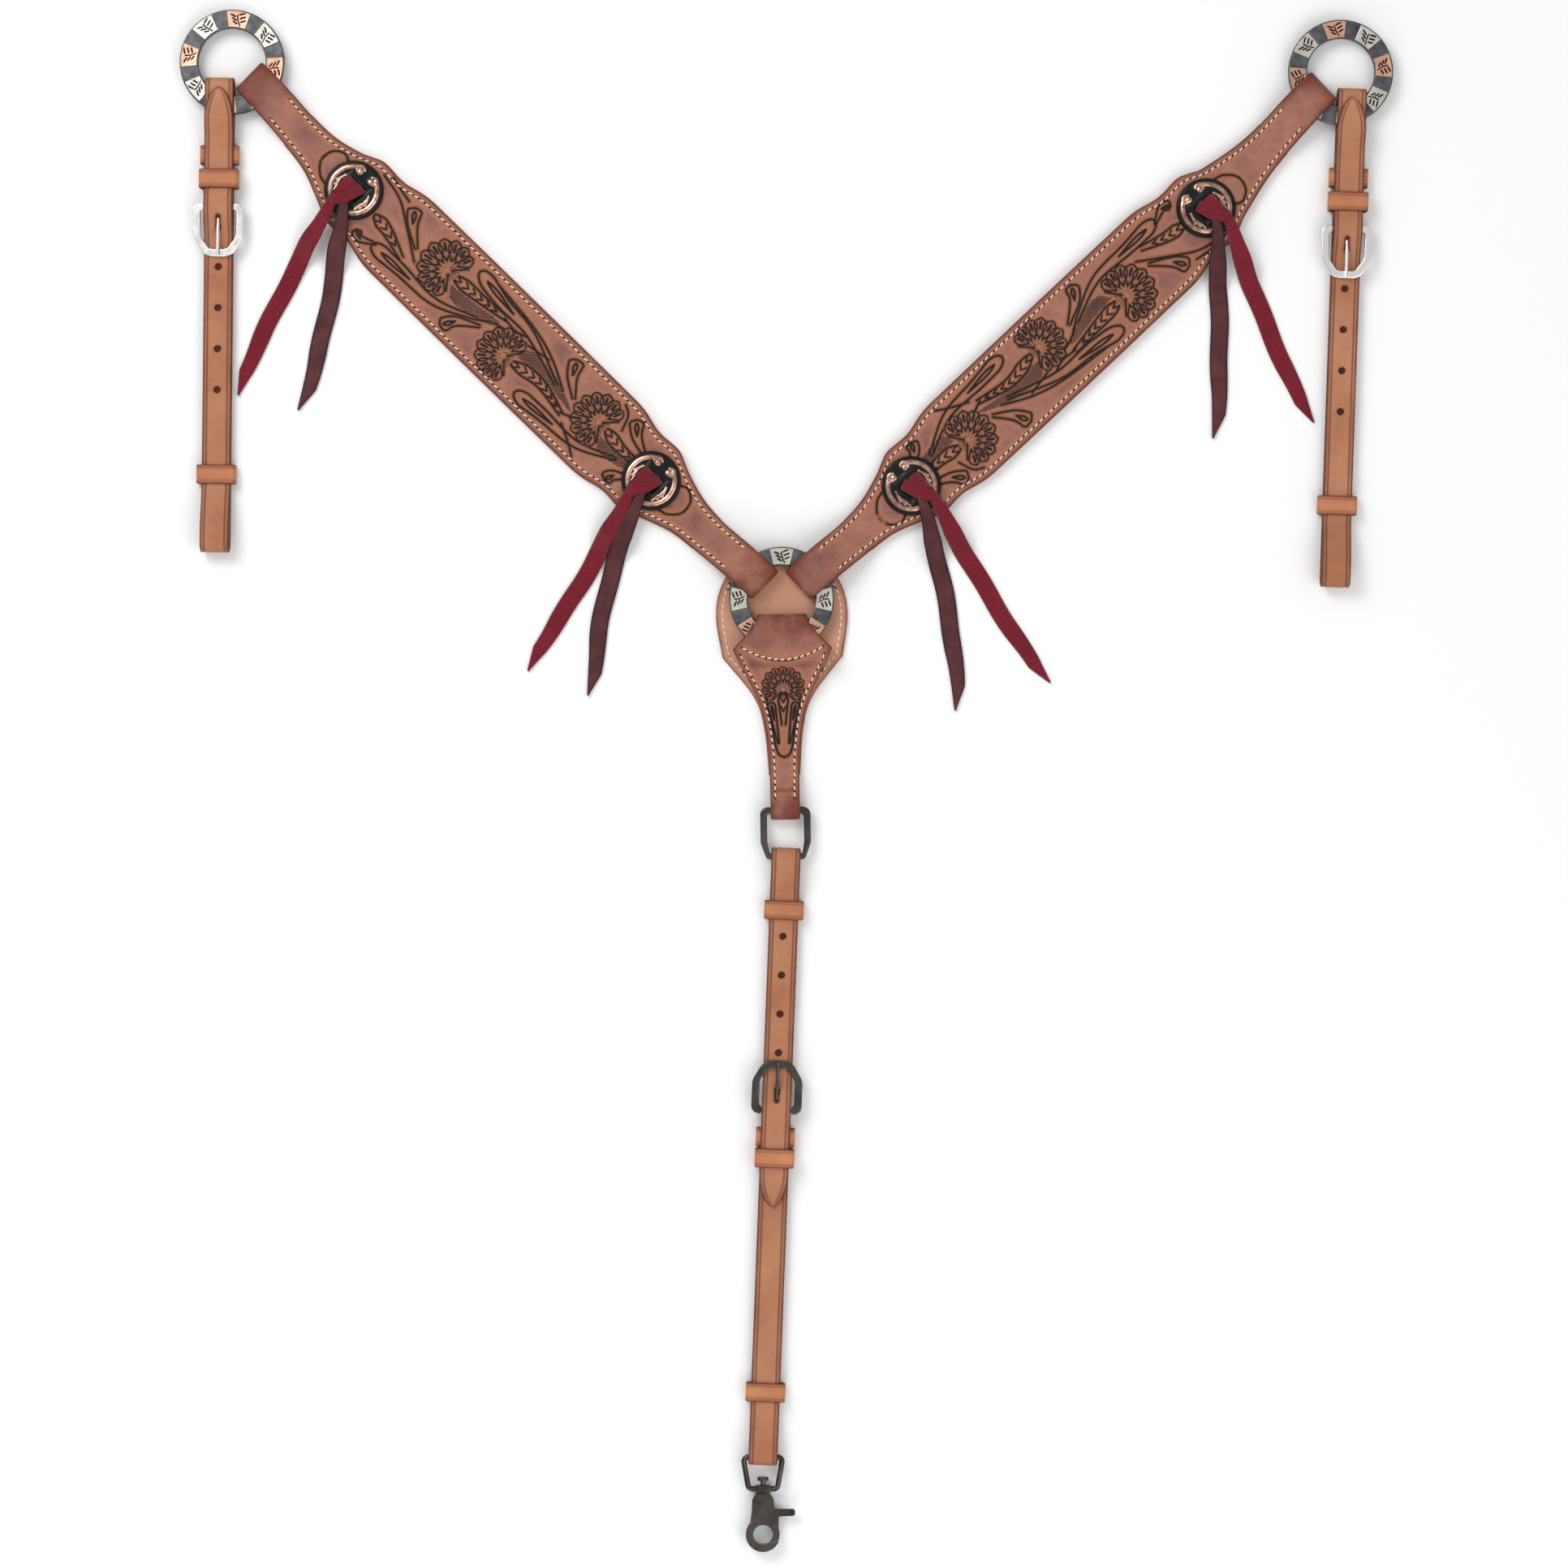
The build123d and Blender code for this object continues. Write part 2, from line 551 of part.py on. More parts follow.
nodes["centre_ring"] = place(ring(CENTRE_RING_Z), *centre, 0)
nodes["centre_ring_silver_panels"] = [place(p, *centre, 0) for p in panels(CENTRE_RING_Z, 90)]
nodes["centre_ring_copper_panels"] = [place(p, *centre, 0) for p in panels(CENTRE_RING_Z, 45)]
nodes["centre_piece"] = place(centre_front(), *centre, CENTRE_ANGLE)
nodes["backing_pad"] = place(backing_pad(), *centre, CENTRE_ANGLE)

link_bar = out_from(centre, CENTRE_ANGLE, CENTRE_LENGTH)
link_end = out_from(link_bar, CENTRE_ANGLE, LINK_LENGTH)
nodes["link"] = place(link(), *link_bar, CENTRE_ANGLE)

snap_bar = out_from(link_end, STRAP_ANGLE + 180, STRAP_LENGTH)
strap_pieces = {
    "strap": tie_down_strap(),
    "buckle_frame": buckle_frame(STRAP_BUCKLE),
    "buckle_tongue": tongue(STRAP_BUCKLE),
    "fixed_keeper": keeper(STRAP_BUCKLE - 17.8, TWO_LAYERS, wall=1.2),
    "middle_keeper": keeper(STRAP_BUCKLE - 31.2, THREE_LAYERS),
    "upper_keeper": keeper(357.5, TWO_LAYERS),
    "lower_keeper": keeper(42.4, TWO_LAYERS),
}
for name, piece in strap_pieces.items():
    nodes[f"tie_down_{name}"] = place(piece, *snap_bar, STRAP_ANGLE)

snap_pieces = {
    "snap_bow": snap_bow(),
    "snap_swivel_stud": swivel_stud(),
    "snap_hook": hook_body(),
    "snap_rivet": rivet(),
    "snap_gate": gate(),
    "snap_gate_spring": gate_spring(),
}
for name, piece in snap_pieces.items():
    nodes[name] = place(piece, *snap_bar, -90)

os.makedirs("parts", exist_ok=True)
for name, shape in nodes.items():
    solids = shape if isinstance(shape, list) else list(shape.solids())
    export_step(Compound(solids) if len(solids) > 1 else solids[0], f"parts/{name}.step")

whole = Compound([s for shape in nodes.values() for s in (shape if isinstance(shape, list) else [shape])])
box = whole.bounding_box()
print("nodes", len(nodes), "box", box.min, box.max)
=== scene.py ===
"""A western breast collar: tooled leather arms, buckled straps, conchos and laces, lying flat.

Lengths are in millimetres until a mesh is made. A strip of leather follows the same folded line
as its CAD part: X along the strip and Z up, in a frame whose place comes from the joints.
"""

import json
import math

import bmesh
import bpy
import numpy as np
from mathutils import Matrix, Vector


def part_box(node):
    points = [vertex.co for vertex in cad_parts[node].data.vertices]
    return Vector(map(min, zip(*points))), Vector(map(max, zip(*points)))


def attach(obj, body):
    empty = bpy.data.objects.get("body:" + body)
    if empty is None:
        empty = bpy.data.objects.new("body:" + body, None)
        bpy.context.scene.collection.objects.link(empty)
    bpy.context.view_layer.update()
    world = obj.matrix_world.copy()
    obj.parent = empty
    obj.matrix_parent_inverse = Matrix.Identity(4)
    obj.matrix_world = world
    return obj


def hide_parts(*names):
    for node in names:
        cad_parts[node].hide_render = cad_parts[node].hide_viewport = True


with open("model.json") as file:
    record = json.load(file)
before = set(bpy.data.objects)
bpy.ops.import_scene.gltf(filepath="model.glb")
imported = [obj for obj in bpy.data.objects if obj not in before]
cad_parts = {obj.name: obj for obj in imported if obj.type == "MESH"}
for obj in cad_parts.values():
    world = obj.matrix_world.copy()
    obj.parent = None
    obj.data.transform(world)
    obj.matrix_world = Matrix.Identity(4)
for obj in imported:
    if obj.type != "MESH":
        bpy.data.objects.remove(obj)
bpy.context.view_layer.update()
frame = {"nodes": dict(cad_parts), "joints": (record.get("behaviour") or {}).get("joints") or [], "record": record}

MM = 0.001
NODES = frame["nodes"]
JOINTS = {joint["name"]: joint for joint in frame["joints"]}

LEATHER = 3.0
STRAP_LEATHER = 2.5
STRAP_HALF = 9.5
LAYER_GAP = 0.1
CORNER = 1.1
STITCH_PITCH = 4.5
STITCH_INSET = 3.9
BACK_STITCH_Z = 0.2
CONCHO_R = 19.5
ARM_SHIFT = -4.2
ARM_TOP = 6.05
RING_THICK = 4.4
PANEL_THICK = 0.4
CREASE_INSET = 2.9


# ---- places ----


def joint_at(name):
    return np.array(JOINTS[name]["pos_m"]) / MM


def heading(start, end):
    return math.degrees(math.atan2(end[1] - start[1], end[0] - start[0]))


def to_row(points, origin, angle):
    """Points in a piece's own frame, turned and moved into the row frame."""
    turn = math.radians(angle)
    x, y, z = np.asarray(points, float).T
    return np.stack([
        origin[0] + x * math.cos(turn) - y * math.sin(turn),
        origin[1] + x * math.sin(turn) + y * math.cos(turn),
        z,
    ], 1)


def from_row(point, origin, angle):
    turn = math.radians(-angle)
    x, y = point[0] - origin[0], point[1] - origin[1]
    return x * math.cos(turn) - y * math.sin(turn), x * math.sin(turn) + y * math.cos(turn)


def box_middle(node):
    low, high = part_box(node)
    return np.array(low + high) / 2 / MM


# ---- lines ----


def even(line, step):
    """The same line with evenly spaced points."""
    along = np.concatenate([[0], np.cumsum(np.linalg.norm(np.diff(line, axis=0), axis=1))])
    at = np.linspace(0, along[-1], max(2, int(round(along[-1] / step)) + 1))
    return np.stack([np.interp(at, along, column) for column in np.asarray(line).T], 1)


def smooth(points, count=8):
    """A smooth line through points."""
    p = np.array(points, float)
    p = np.vstack([2 * p[0] - p[1], p, 2 * p[-1] - p[-2]])
    line = []
    for a, b, c, d in zip(p, p[1:], p[2:], p[3:]):
        for t in np.arange(count) / count:
            line.append((2 * b + (c - a) * t + (2 * a - 5 * b + 4 * c - d) * t**2
                         + (3 * b - a - 3 * c + d) * t**3) / 2)
    return np.array([*line, p[-2]])


def rounded(points, radii, step=0.3):
    """A folded line: straight runs joined by arcs."""
    p = [np.array(q, float) for q in points]
    line = [p[0]]
    for before, here, after, radius in zip(p, p[1:], p[2:], radii):
        into = (here - before) / np.linalg.norm(here - before)
        away = (after - here) / np.linalg.norm(after - here)
        turn = math.atan2(into[0] * away[1] - into[1] * away[0], into @ away)
        side = np.array([-into[1], into[0]]) * np.sign(turn)
        hub = here - into * radius * math.tan(abs(turn) / 2) + side * radius
        for k in range(13):
            a = turn * k / 12
            x, z = -side * radius
            line.append(hub + (x * math.cos(a) - z * math.sin(a), x * math.sin(a) + z * math.cos(a)))
    return even(np.array([*line, p[-1]]), step)


def thinned(line, wanted):
    """Drops points that are nearer to the last kept one than its wanted spacing."""
    kept, since = [0], 0.0
    for k in range(1, len(line)):
        since += np.linalg.norm(line[k] - line[k - 1])
        if since >= wanted[k] or k == len(line) - 1:
            kept.append(k)
            since = 0.0
    return line[kept]


def bends(line):
    """How much a line turns near each point, for a finer mesh there."""
    step = np.diff(line, axis=0)
    angle = np.unwrap(np.arctan2(step[:, 1], step[:, 0]))
    turning = np.abs(np.gradient(np.append(angle, angle[-1])))
    return np.convolve(turning, np.ones(9), "same") > 0.02


# ---- pieces ----


def add_piece(name, points, faces, place, body, slot, material, replaces=(), fields=None):
    """One mesh piece from local millimetres, in its place and on its body."""
    mesh = bpy.data.meshes.new(name)
    mesh.from_pydata((to_row(points, *place) * MM).tolist(), [], faces)
    mesh.polygons.foreach_set("use_smooth", [True] * len(mesh.polygons))
    for key, values in (fields or {}).items():
        attribute = mesh.attributes.new(key, "FLOAT", "POINT")
        attribute.data.foreach_set("value", np.asarray(values, np.float32).ravel())
    shape = bmesh.new()
    shape.from_mesh(mesh)
    bmesh.ops.recalc_face_normals(shape, faces=shape.faces)
    shape.to_mesh(mesh)
    shape.free()
    mesh.materials.append(material)
    piece = bpy.data.objects.new(name, mesh)
    bpy.context.scene.collection.objects.link(piece)
    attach(piece, body)
    if replaces:
        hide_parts(*replaces)
    return piece


def strip(line, low, high, thick, side, across, work=None, closed=False):
    """A strip along a folded line, with rounded edges. across places the top face's columns.

    work gives the grain face's relief and darkness from its X and Y grids."""
    ahead = np.roll(line, -1, 0) - np.roll(line, 1, 0) if closed else np.gradient(line, axis=0)
    ahead /= np.linalg.norm(ahead, axis=1)[:, None]
    normal = side * np.stack([-ahead[:, 1], ahead[:, 0]], 1)
    half, corner = thick / 2, min(CORNER, thick * 0.45)
    low, high = low[:, None], high[:, None]
    corner = np.minimum(corner, (high - low) * 0.3)
    top_y = low + corner + (high - low - 2 * corner) * np.asarray(across)[None, :]
    relief, dark, extra = np.zeros(top_y.shape), np.zeros(top_y.shape), {}
    if work:
        relief, dark, extra = work(np.broadcast_to(line[:, :1], top_y.shape), top_y, low, high)
    from_edge = np.minimum(top_y - low, high - top_y)
    under = np.linspace(1, 0, 6)[None, :]
    angles = np.radians([45, 90, 135])[None, :]
    ones = np.ones((len(line), 3))
    y = np.hstack([
        top_y, high - corner + corner * np.sin(angles),
        low + corner + (high - low - 2 * corner) * under,
        low + corner - corner * np.sin(angles[:, ::-1]),
    ])
    out = np.hstack([
        half + relief, half * np.cos(angles) * ones, -half * np.ones((len(line), 6)),
        half * np.cos(angles[:, ::-1]) * ones,
    ])
    edge = np.hstack([np.exp(-from_edge / 1.7), ones, 0.2 * np.ones((len(line), 6)), ones])
    fields = {"edge": edge}
    for key, values in {"tool": dark, **extra}.items():
        fields[key] = np.hstack([values, np.zeros((len(line), 12))])
    points = np.stack([line[:, :1] + normal[:, :1] * out, y, line[:, 1:] + normal[:, 1:] * out], 2)
    count, ring = y.shape
    faces = []
    for i in range(count if closed else count - 1):
        a, b = i * ring, ((i + 1) % count) * ring
        faces += [(a + j, a + (j + 1) % ring, b + (j + 1) % ring, b + j) for j in range(ring)]
    if not closed:
        faces += [tuple(range(ring)), tuple(range((count - 1) * ring, count * ring))]
    return points.reshape(-1, 3), faces, fields


def capsules(dashes, length, width, height):
    """Short rounded dashes, one for each row of middle and direction."""
    around, along = 8, (-1.0, -0.8, -0.35, 0.35, 0.8, 1.0)
    points, faces = [], []
    for middle, direction in dashes:
        ahead = direction / np.linalg.norm(direction)
        aside = np.array([-ahead[1], ahead[0], 0]) / max(np.hypot(ahead[0], ahead[1]), 1e-6)
        up = np.cross(ahead, aside)
        start = len(points)
        for a in along:
            size = math.sqrt(max(1 - abs(a) ** 3, 0.02))
            for k in range(around):
                t = 2 * math.pi * k / around
                points.append(middle + ahead * a * length / 2 + aside * math.cos(t) * size * width / 2
                              + up * math.sin(t) * size * height / 2)
        for i in range(len(along) - 1):
            for k in range(around):
                a, b = start + i * around, start + (i + 1) * around
                faces.append((a + k, a + (k + 1) % around, b + (k + 1) % around, b + k))
        faces.append(tuple(start + k for k in range(around)))
        faces.append(tuple(start + (len(along) - 1) * around + k for k in range(around)))
    return np.array(points), faces


def stitch_row(line, lean=10):
    """Stitches along a line of points, each one leaning a little."""
    marks = even(line, STITCH_PITCH)
    dashes = []
    for here, after in zip(marks[:-1], marks[1:]):
        ahead, turn = after - here, math.radians(lean)
        leaning = np.array([ahead[0] * math.cos(turn) - ahead[1] * math.sin(turn),
                            ahead[0] * math.sin(turn) + ahead[1] * math.cos(turn), ahead[2]])
        dashes.append(((here + after) / 2, leaning))
    return dashes


def add_stitches(name, rows, place, body, slot):
    dashes = [dash for row in rows for dash in stitch_row(row)]
    points, faces = capsules(dashes, 3.3, 1.0, 0.8)
    return add_piece(name, points, faces, place, body, slot, THREAD)


# ---- tooling ----


class Relief:
    """Tooled work on a grid of X and Y: how far the surface goes down and how dark it is."""

    def __init__(self, x, y):
        self.x, self.y = x, y
        self.height, self.dark, self.warm = np.zeros(x.shape), np.zeros(x.shape), np.zeros(x.shape)

    def near(self, line, margin):
        low, high = line.min(0) - margin, line.max(0) + margin
        return ((self.x > low[0]) & (self.x < high[0]) & (self.y > low[1]) & (self.y < high[1]))

    def carve(self, line, width=0.8, depth=0.65, shade=1.0, bevel=0.42):
        """Cuts a groove along a line, with the ground beside it pressed down softly."""
        line = np.asarray(line, float)
        inside = self.near(line, 8.0)
        if not inside.any():
            return
        px, py = self.x[inside], self.y[inside]
        best = np.full(px.shape, 1e9)
        for (ax, ay), (bx, by) in zip(line[:-1], line[1:]):
            dx, dy = bx - ax, by - ay
            t = np.clip(((px - ax) * dx + (py - ay) * dy) / max(dx * dx + dy * dy, 1e-9), 0, 1)
            best = np.minimum(best, (px - ax - t * dx) ** 2 + (py - ay - t * dy) ** 2)
        cut = np.exp(-best / width**2)
        soft = bevel * np.exp(-best / (width * 2.6) ** 2)
        self.height[inside] = np.minimum(self.height[inside], -depth * np.maximum(cut, soft * 0.8))
        self.dark[inside] = np.maximum(self.dark[inside], shade * np.maximum(cut, soft))
        self.warm[inside] = np.maximum(self.warm[inside], np.exp(-best / 9.0))

    def hole_dip_with_painted_shade(self, x, y, radius, depth, shade=1.0):
        # A round dip with painted shade in it: dark colour standing in for the shade inside a punched hole.
        reach = np.hypot(self.x - x, self.y - y) / radius
        drop = np.clip(1.25 - reach, 0, 0.3) / 0.3
        self.height[:] = np.minimum(self.height, -depth * drop)
        self.dark[:] = np.maximum(self.dark, shade * drop)

    def ground(self, corners):
        """A stippled dark ground inside an outline."""
        outline = smooth([*corners, corners[0]])
        inside = np.zeros(self.x.shape, bool)
        for (ax, ay), (bx, by) in zip(outline[:-1], outline[1:]):
            crossing = (ay > self.y) != (by > self.y)
            where = ax + (self.y - ay) * (bx - ax) / (by - ay if by != ay else 1e-9)
            inside ^= crossing & (self.x < where)
        beads = np.cos(self.x * 3.6) * np.cos(self.y * 3.6 + np.floor(self.x * 0.57))
        self.height[inside] = np.minimum(self.height[inside], -0.5 + 0.18 * beads[inside])
        self.dark[inside] = np.maximum(self.dark[inside], 0.52 - 0.4 * beads[inside])


def teardrop(start, end, wide, steps=14, fat=0.62):
    """A closed teardrop, pointed at its start and round at its end."""
    a, b = np.array(start, float), np.array(end, float)
    ahead = b - a
    aside = np.array([-ahead[1], ahead[0]]) / np.linalg.norm(ahead)
    t = np.linspace(0, 1, steps)
    half = wide * np.sin(math.pi * t ** (1 / fat)) ** 0.75
    one = a + ahead * t[:, None] + aside * half[:, None]
    other = a + ahead * t[:, None] - aside * half[:, None]
    return np.vstack([one, other[::-1]])


def flower(relief, x, y, radius, facing, petals=10, spread=240):
    """A fan of scalloped petals round a hub, each with a dark bead inside."""
    hub, fine = np.array([x, y], float), radius / 20
    for k in range(petals):
        swing = (k + 0.5) / petals - 0.5
        angle = math.radians(facing + spread * swing)
        way = np.array([math.cos(angle), math.sin(angle)])
        reach = radius * (1 - 0.2 * (2 * swing) ** 2)
        wide = reach * math.radians(spread) / petals * 0.5
        relief.carve(teardrop(hub + way * radius * 0.3, hub + way * reach, wide), 0.62 * fine, 0.65)
        relief.carve([hub + way * reach * 0.64, hub + way * reach * 0.86], 1.05 * fine, 0.5, 1.0, 0)
        relief.carve([hub + way * radius * 0.12, hub + way * reach * 0.6], 0.3, 0.3, 0.7, 0)
    for k in range(7):
        angle = math.radians(facing + 180 + 17 * (k - 3))
        way = np.array([math.cos(angle), math.sin(angle)])
        relief.carve([hub + way * radius * 0.1, hub + way * radius * 0.34], 0.34, 0.35, 0.85, 0)
    for side in (-1, 1):
        angle = math.radians(facing + side * (spread / 2 + 9))
        way = np.array([math.cos(angle), math.sin(angle)])
        relief.carve([hub + way * radius * 0.1, hub + way * radius * 0.62], 0.75 * fine)


def braid(relief, spine, wide):
    """A stem with a row of chevrons."""
    line = even(smooth(spine), 1.0)
    ahead = np.gradient(line, axis=0)
    ahead /= np.linalg.norm(ahead, axis=1)[:, None]
    aside = np.stack([-ahead[:, 1], ahead[:, 0]], 1)
    share = np.linspace(0, 1, len(line))
    half = wide * np.minimum(1, 2.5 * share**0.6) * (1 - 0.75 * share) + 0.35
    for side in (-1, 1):
        relief.carve(line + side * aside * half[:, None])
    for k in range(4, len(line) - 6, 6):
        tip = line[k] + ahead[k] * 2.4
        wings = [line[k] + side * aside[k] * half[k] * 0.6 - ahead[k] * 1.0 for side in (-1, 1)]
        relief.carve([wings[0], tip, wings[1]], 0.72, 0.55, 1.0, 0)


def leaf(relief, spine, wide, pip=0.3):
    """A long leaf: a round head, a narrow tail and a dark drop in its head."""
    line = even(smooth(spine), 1.2)
    ahead = np.gradient(line, axis=0)
    ahead /= np.linalg.norm(ahead, axis=1)[:, None]
    aside = np.stack([-ahead[:, 1], ahead[:, 0]], 1)
    share = np.linspace(0, 1, len(line))
    half = wide * np.sqrt(np.clip(share / 0.13, 0, 1) * (2 - np.clip(share / 0.13, 0, 1)))
    half *= 1 - 0.82 * np.clip((share - 0.1) / 0.9, 0, 1) ** 0.85
    outline = np.vstack([(line - aside * half[:, None])[::-1], line + aside * half[:, None]])
    relief.carve(outline)
    start, end = int(len(line) * 0.1), int(len(line) * (0.1 + pip))
    relief.carve(teardrop(line[end], line[start], wide * 0.25), 0.85, 0.5, 1.0, 0)


ARM_FLOWERS = ((196, 5.5, 21.5, 178), (261, -9, 20, 184), (336, 3.5, 20.5, 176))
ARM_BRAIDS = (
    ((201, 5.5), (222, 7), (245, 9.5)), ((267, -8.5), (290, -5), (314, -10)),
    ((342, 3.5), (358, 1), (378, 2)), ((136, -2), (150, -4), (168, -10)),
)
ARM_LEAVES = (
    (((152, 20), (158, 11), (171, 1)), 5.0), (((211, 20), (236, 15.5), (263, 13.5), (298, 1.5)), 5.2),
    (((148, -17), (174, -16), (203, -15.5), (231, -4)), 5.0), (((217, -24), (222, -15), (236, -6)), 4.6),
    (((297, 23), (302, 13), (313, 3)), 5.2), (((282, -21), (306, -19), (334, -17.5), (360, -6)), 5.0),
    (((352, 22), (360, 14), (374, 8)), 4.8), (((364, -21), (366, -15), (376, -8)), 4.4),
    (((134, -17), (139, -20), (150, -15)), 3.2),
)
ARM_LINES = (
    ((122, 21), (140, 17), (155, 8), (176, -6)), ((226, 22), (262, 18), (284, 12), (304, 2)),
    ((232, -4), (242, 2), (256, 5), (284, 10)), ((312, -10), (322, -6), (330, -4)),
    ((128, 24), (136, 22), (146, 20)), ((244, 9), (254, 8), (262, 10)),
    ((318, -14), (330, -20), (338, -25)), ((340, 24), (346, 20), (350, 10)),
)
CONCHO_COLLAR = ((-14, 10), (-21, 13), (-28, 8), (-29, -1), (-23, -8), (-17, -10))
ARM_GROUNDS = (
    ((203, 0.5), (222, 2), (243, 5), (236, -2.5), (212, -7)),
    ((264, -2), (274, 7), (300, 3.5), (318, -5), (292, -1.5), (272, -3)),
    ((342, -2), (356, -3), (374, -2), (364, -8.5), (347, -10)),
)


def tool_arm(relief, flip, turned, later):
    """Tools an arm. turned puts the flowers the other way up, as on the second arm."""

    def put(points):
        return [(x + later, flip * (ARM_SHIFT + turned * v)) for x, v in points]

    for corners in ARM_GROUNDS:
        relief.ground(put(corners))
    for line in ARM_LINES:
        relief.carve(smooth(put(line)))
    for spine, wide in ARM_LEAVES:
        leaf(relief, put(spine), wide)
    for spine in ARM_BRAIDS:
        braid(relief, put(spine), 4.3)
    for x, v, radius, facing in ARM_FLOWERS:
        (across,) = put([(x, v)])
        away_x, away_y = relief.x - across[0], relief.y - across[1]
        disc = (np.hypot(away_x, away_y) < radius * 0.86) & (away_x < radius * 0.3)
        relief.height[disc] *= 0.1
        relief.dark[disc] *= 0.1
        flower(relief, *across, radius, 180 + flip * turned * (facing - 180))


def tool_centre(relief):
    """One flower over two leaves on the centre piece."""
    flower(relief, 59, 0, 15.5, 180, petals=11, spread=250)
    braid(relief, ((61, 0), (70, 0), (82, 0)), 3.4)
    for side in (-1, 1):
        leaf(relief, ((67, side * 8.3), (76, side * 6.6), (94, side * 3.6)), 2.6, 0.35)
        relief.carve(smooth([(64, side * 11), (72, side * 10), (84, side * 7.4), (95, side * 5.6),
                             (101, side * 3.6), (103.2, 0)]))


# ---- materials ----


class Shader:
    """A material that is built node by node."""

    def __init__(self, name, **settings):
        self.material = bpy.data.materials.new(name)
        self.material.use_nodes = True
        self.nodes, self.links = self.material.node_tree.nodes, self.material.node_tree.links
        self.surface = self.nodes["Principled BSDF"]
        for key, value in settings.items():
            self.surface.inputs[key.replace("_", " ")].default_value = value
        self.place = self.nodes.new("ShaderNodeTexCoord").outputs["Object"]

    def put(self, socket, value):
        if hasattr(value, "links"):
            self.links.new(value, socket)
        else:
            socket.default_value = value

    def noise(self, scale, detail=4.0, rough=0.55, stretch=None):
        node = self.nodes.new("ShaderNodeTexNoise")
        node.inputs["Scale"].default_value = scale
        node.inputs["Detail"].default_value = detail
        node.inputs["Roughness"].default_value = rough
        place = self.place
        if stretch:
            mapping = self.nodes.new("ShaderNodeMapping")
            mapping.inputs["Scale"].default_value = stretch
            self.put(mapping.inputs["Vector"], place)
            place = mapping.outputs["Vector"]
        self.put(node.inputs["Vector"], place)
        return node.outputs["Fac"]

    def cells(self, scale):
        node = self.nodes.new("ShaderNodeTexVoronoi")
        node.feature = "DISTANCE_TO_EDGE"
        node.inputs["Scale"].default_value = scale
        self.put(node.inputs["Vector"], self.place)
        return node.outputs["Distance"]

    def field(self, name):
        node = self.nodes.new("ShaderNodeAttribute")
        node.attribute_name = name
        return node.outputs["Fac"]

    def span(self, value, low, high, to_low=0.0, to_high=1.0):
        node = self.nodes.new("ShaderNodeMapRange")
        for socket, number in zip(node.inputs[:5], (value, low, high, to_low, to_high)):
            self.put(socket, number)
        return node.outputs["Result"]

    def math(self, operation, a, b):
        node = self.nodes.new("ShaderNodeMath")
        node.operation = operation
        self.put(node.inputs[0], a)
        self.put(node.inputs[1], b)
        return node.outputs["Value"]

    def mix(self, share, a, b):
        node = self.nodes.new("ShaderNodeMix")
        node.data_type = "RGBA"
        self.put(node.inputs[0], share)
        for socket, colour in ((node.inputs[6], a), (node.inputs[7], b)):
            self.put(socket, (*colour, 1.0) if isinstance(colour, tuple) else colour)
        return node.outputs[2]

    def bump(self, height, strength, distance=0.0004):
        node = self.nodes.new("ShaderNodeBump")
        node.inputs["Strength"].default_value = strength
        node.inputs["Distance"].default_value = distance
        self.put(node.inputs["Height"], height)
        self.put(self.surface.inputs["Normal"], node.outputs["Normal"])

    def finish(self, colour, rough=None):
        self.put(self.surface.inputs["Base Color"], colour)
        if rough is not None:
            self.put(self.surface.inputs["Roughness"], rough)
        return self.material


def leather(name, light, deep, edge, cut, grain=0.35, gloss=0.45, patch=30.0, tooled=None):
    """Smooth leather: patchy dye, a burnished edge, dark cuts, painted shade in stitch and strap holes, and fine
    pores.

    tooled gives the colour of the worked parts and the burnt colour of the folds."""
    shader = Shader(name, Specular_IOR_Level=0.2)
    patches = shader.span(shader.noise(patch, 5.0, 0.6), 0.34, 0.66)
    colour = shader.mix(patches, light, deep)
    if tooled:
        colour = shader.mix(shader.span(shader.field("warm"), 0.15, 0.75), colour, tooled[0])
        streaks = shader.span(shader.noise(48.0, 6.0, 0.65), 0.38, 0.62, 0.25, 1.1)
        burn = shader.math("MULTIPLY", shader.field("burn"), streaks)
        colour = shader.mix(shader.span(burn, 0.1, 0.9), colour, tooled[1])
    fibre = shader.span(shader.noise(420.0, 3.0), 0.3, 0.7, 0.0, 0.3)
    colour = shader.mix(fibre, colour, deep)
    worn = shader.span(shader.noise(90.0), 0.3, 0.7, 0.75, 1.1)
    burnt = shader.math("MULTIPLY", shader.field("edge"), worn)
    colour = shader.mix(shader.span(burnt, 0.08, 0.85), colour, edge)
    # The tool field takes the cut colour: the dark finish of tooled cuts, and also painted shade in the stitch
    # holes, strap holes and tongue slot.
    colour = shader.mix(shader.span(shader.field("tool"), 0.1, 0.72), colour, cut)
    pores = shader.math("ADD", shader.cells(1500.0), shader.noise(700.0, 4.0))
    shader.bump(pores, grain)
    rough = shader.span(shader.noise(160.0), 0.3, 0.7, gloss - 0.06, gloss + 0.1)
    return shader.finish(colour, rough)


def suede(name, light, deep):
    """The fibrous flesh side of a lace."""
    shader = Shader(name, Roughness=0.95, Specular_IOR_Level=0.05)
    nap = shader.span(shader.noise(900.0, 6.0, 0.7), 0.32, 0.68)
    colour = shader.mix(nap, light, deep)
    colour = shader.mix(shader.span(shader.noise(60.0), 0.35, 0.7, 0.0, 0.5), colour, deep)
    colour = shader.mix(shader.span(shader.field("edge"), 0.5, 1.0, 0.0, 0.45), colour, deep)
    shader.surface.inputs["Sheen Weight"].default_value = 0.25
    shader.bump(shader.noise(1100.0, 8.0, 0.75), 0.8, 0.0006)
    return shader.finish(colour)


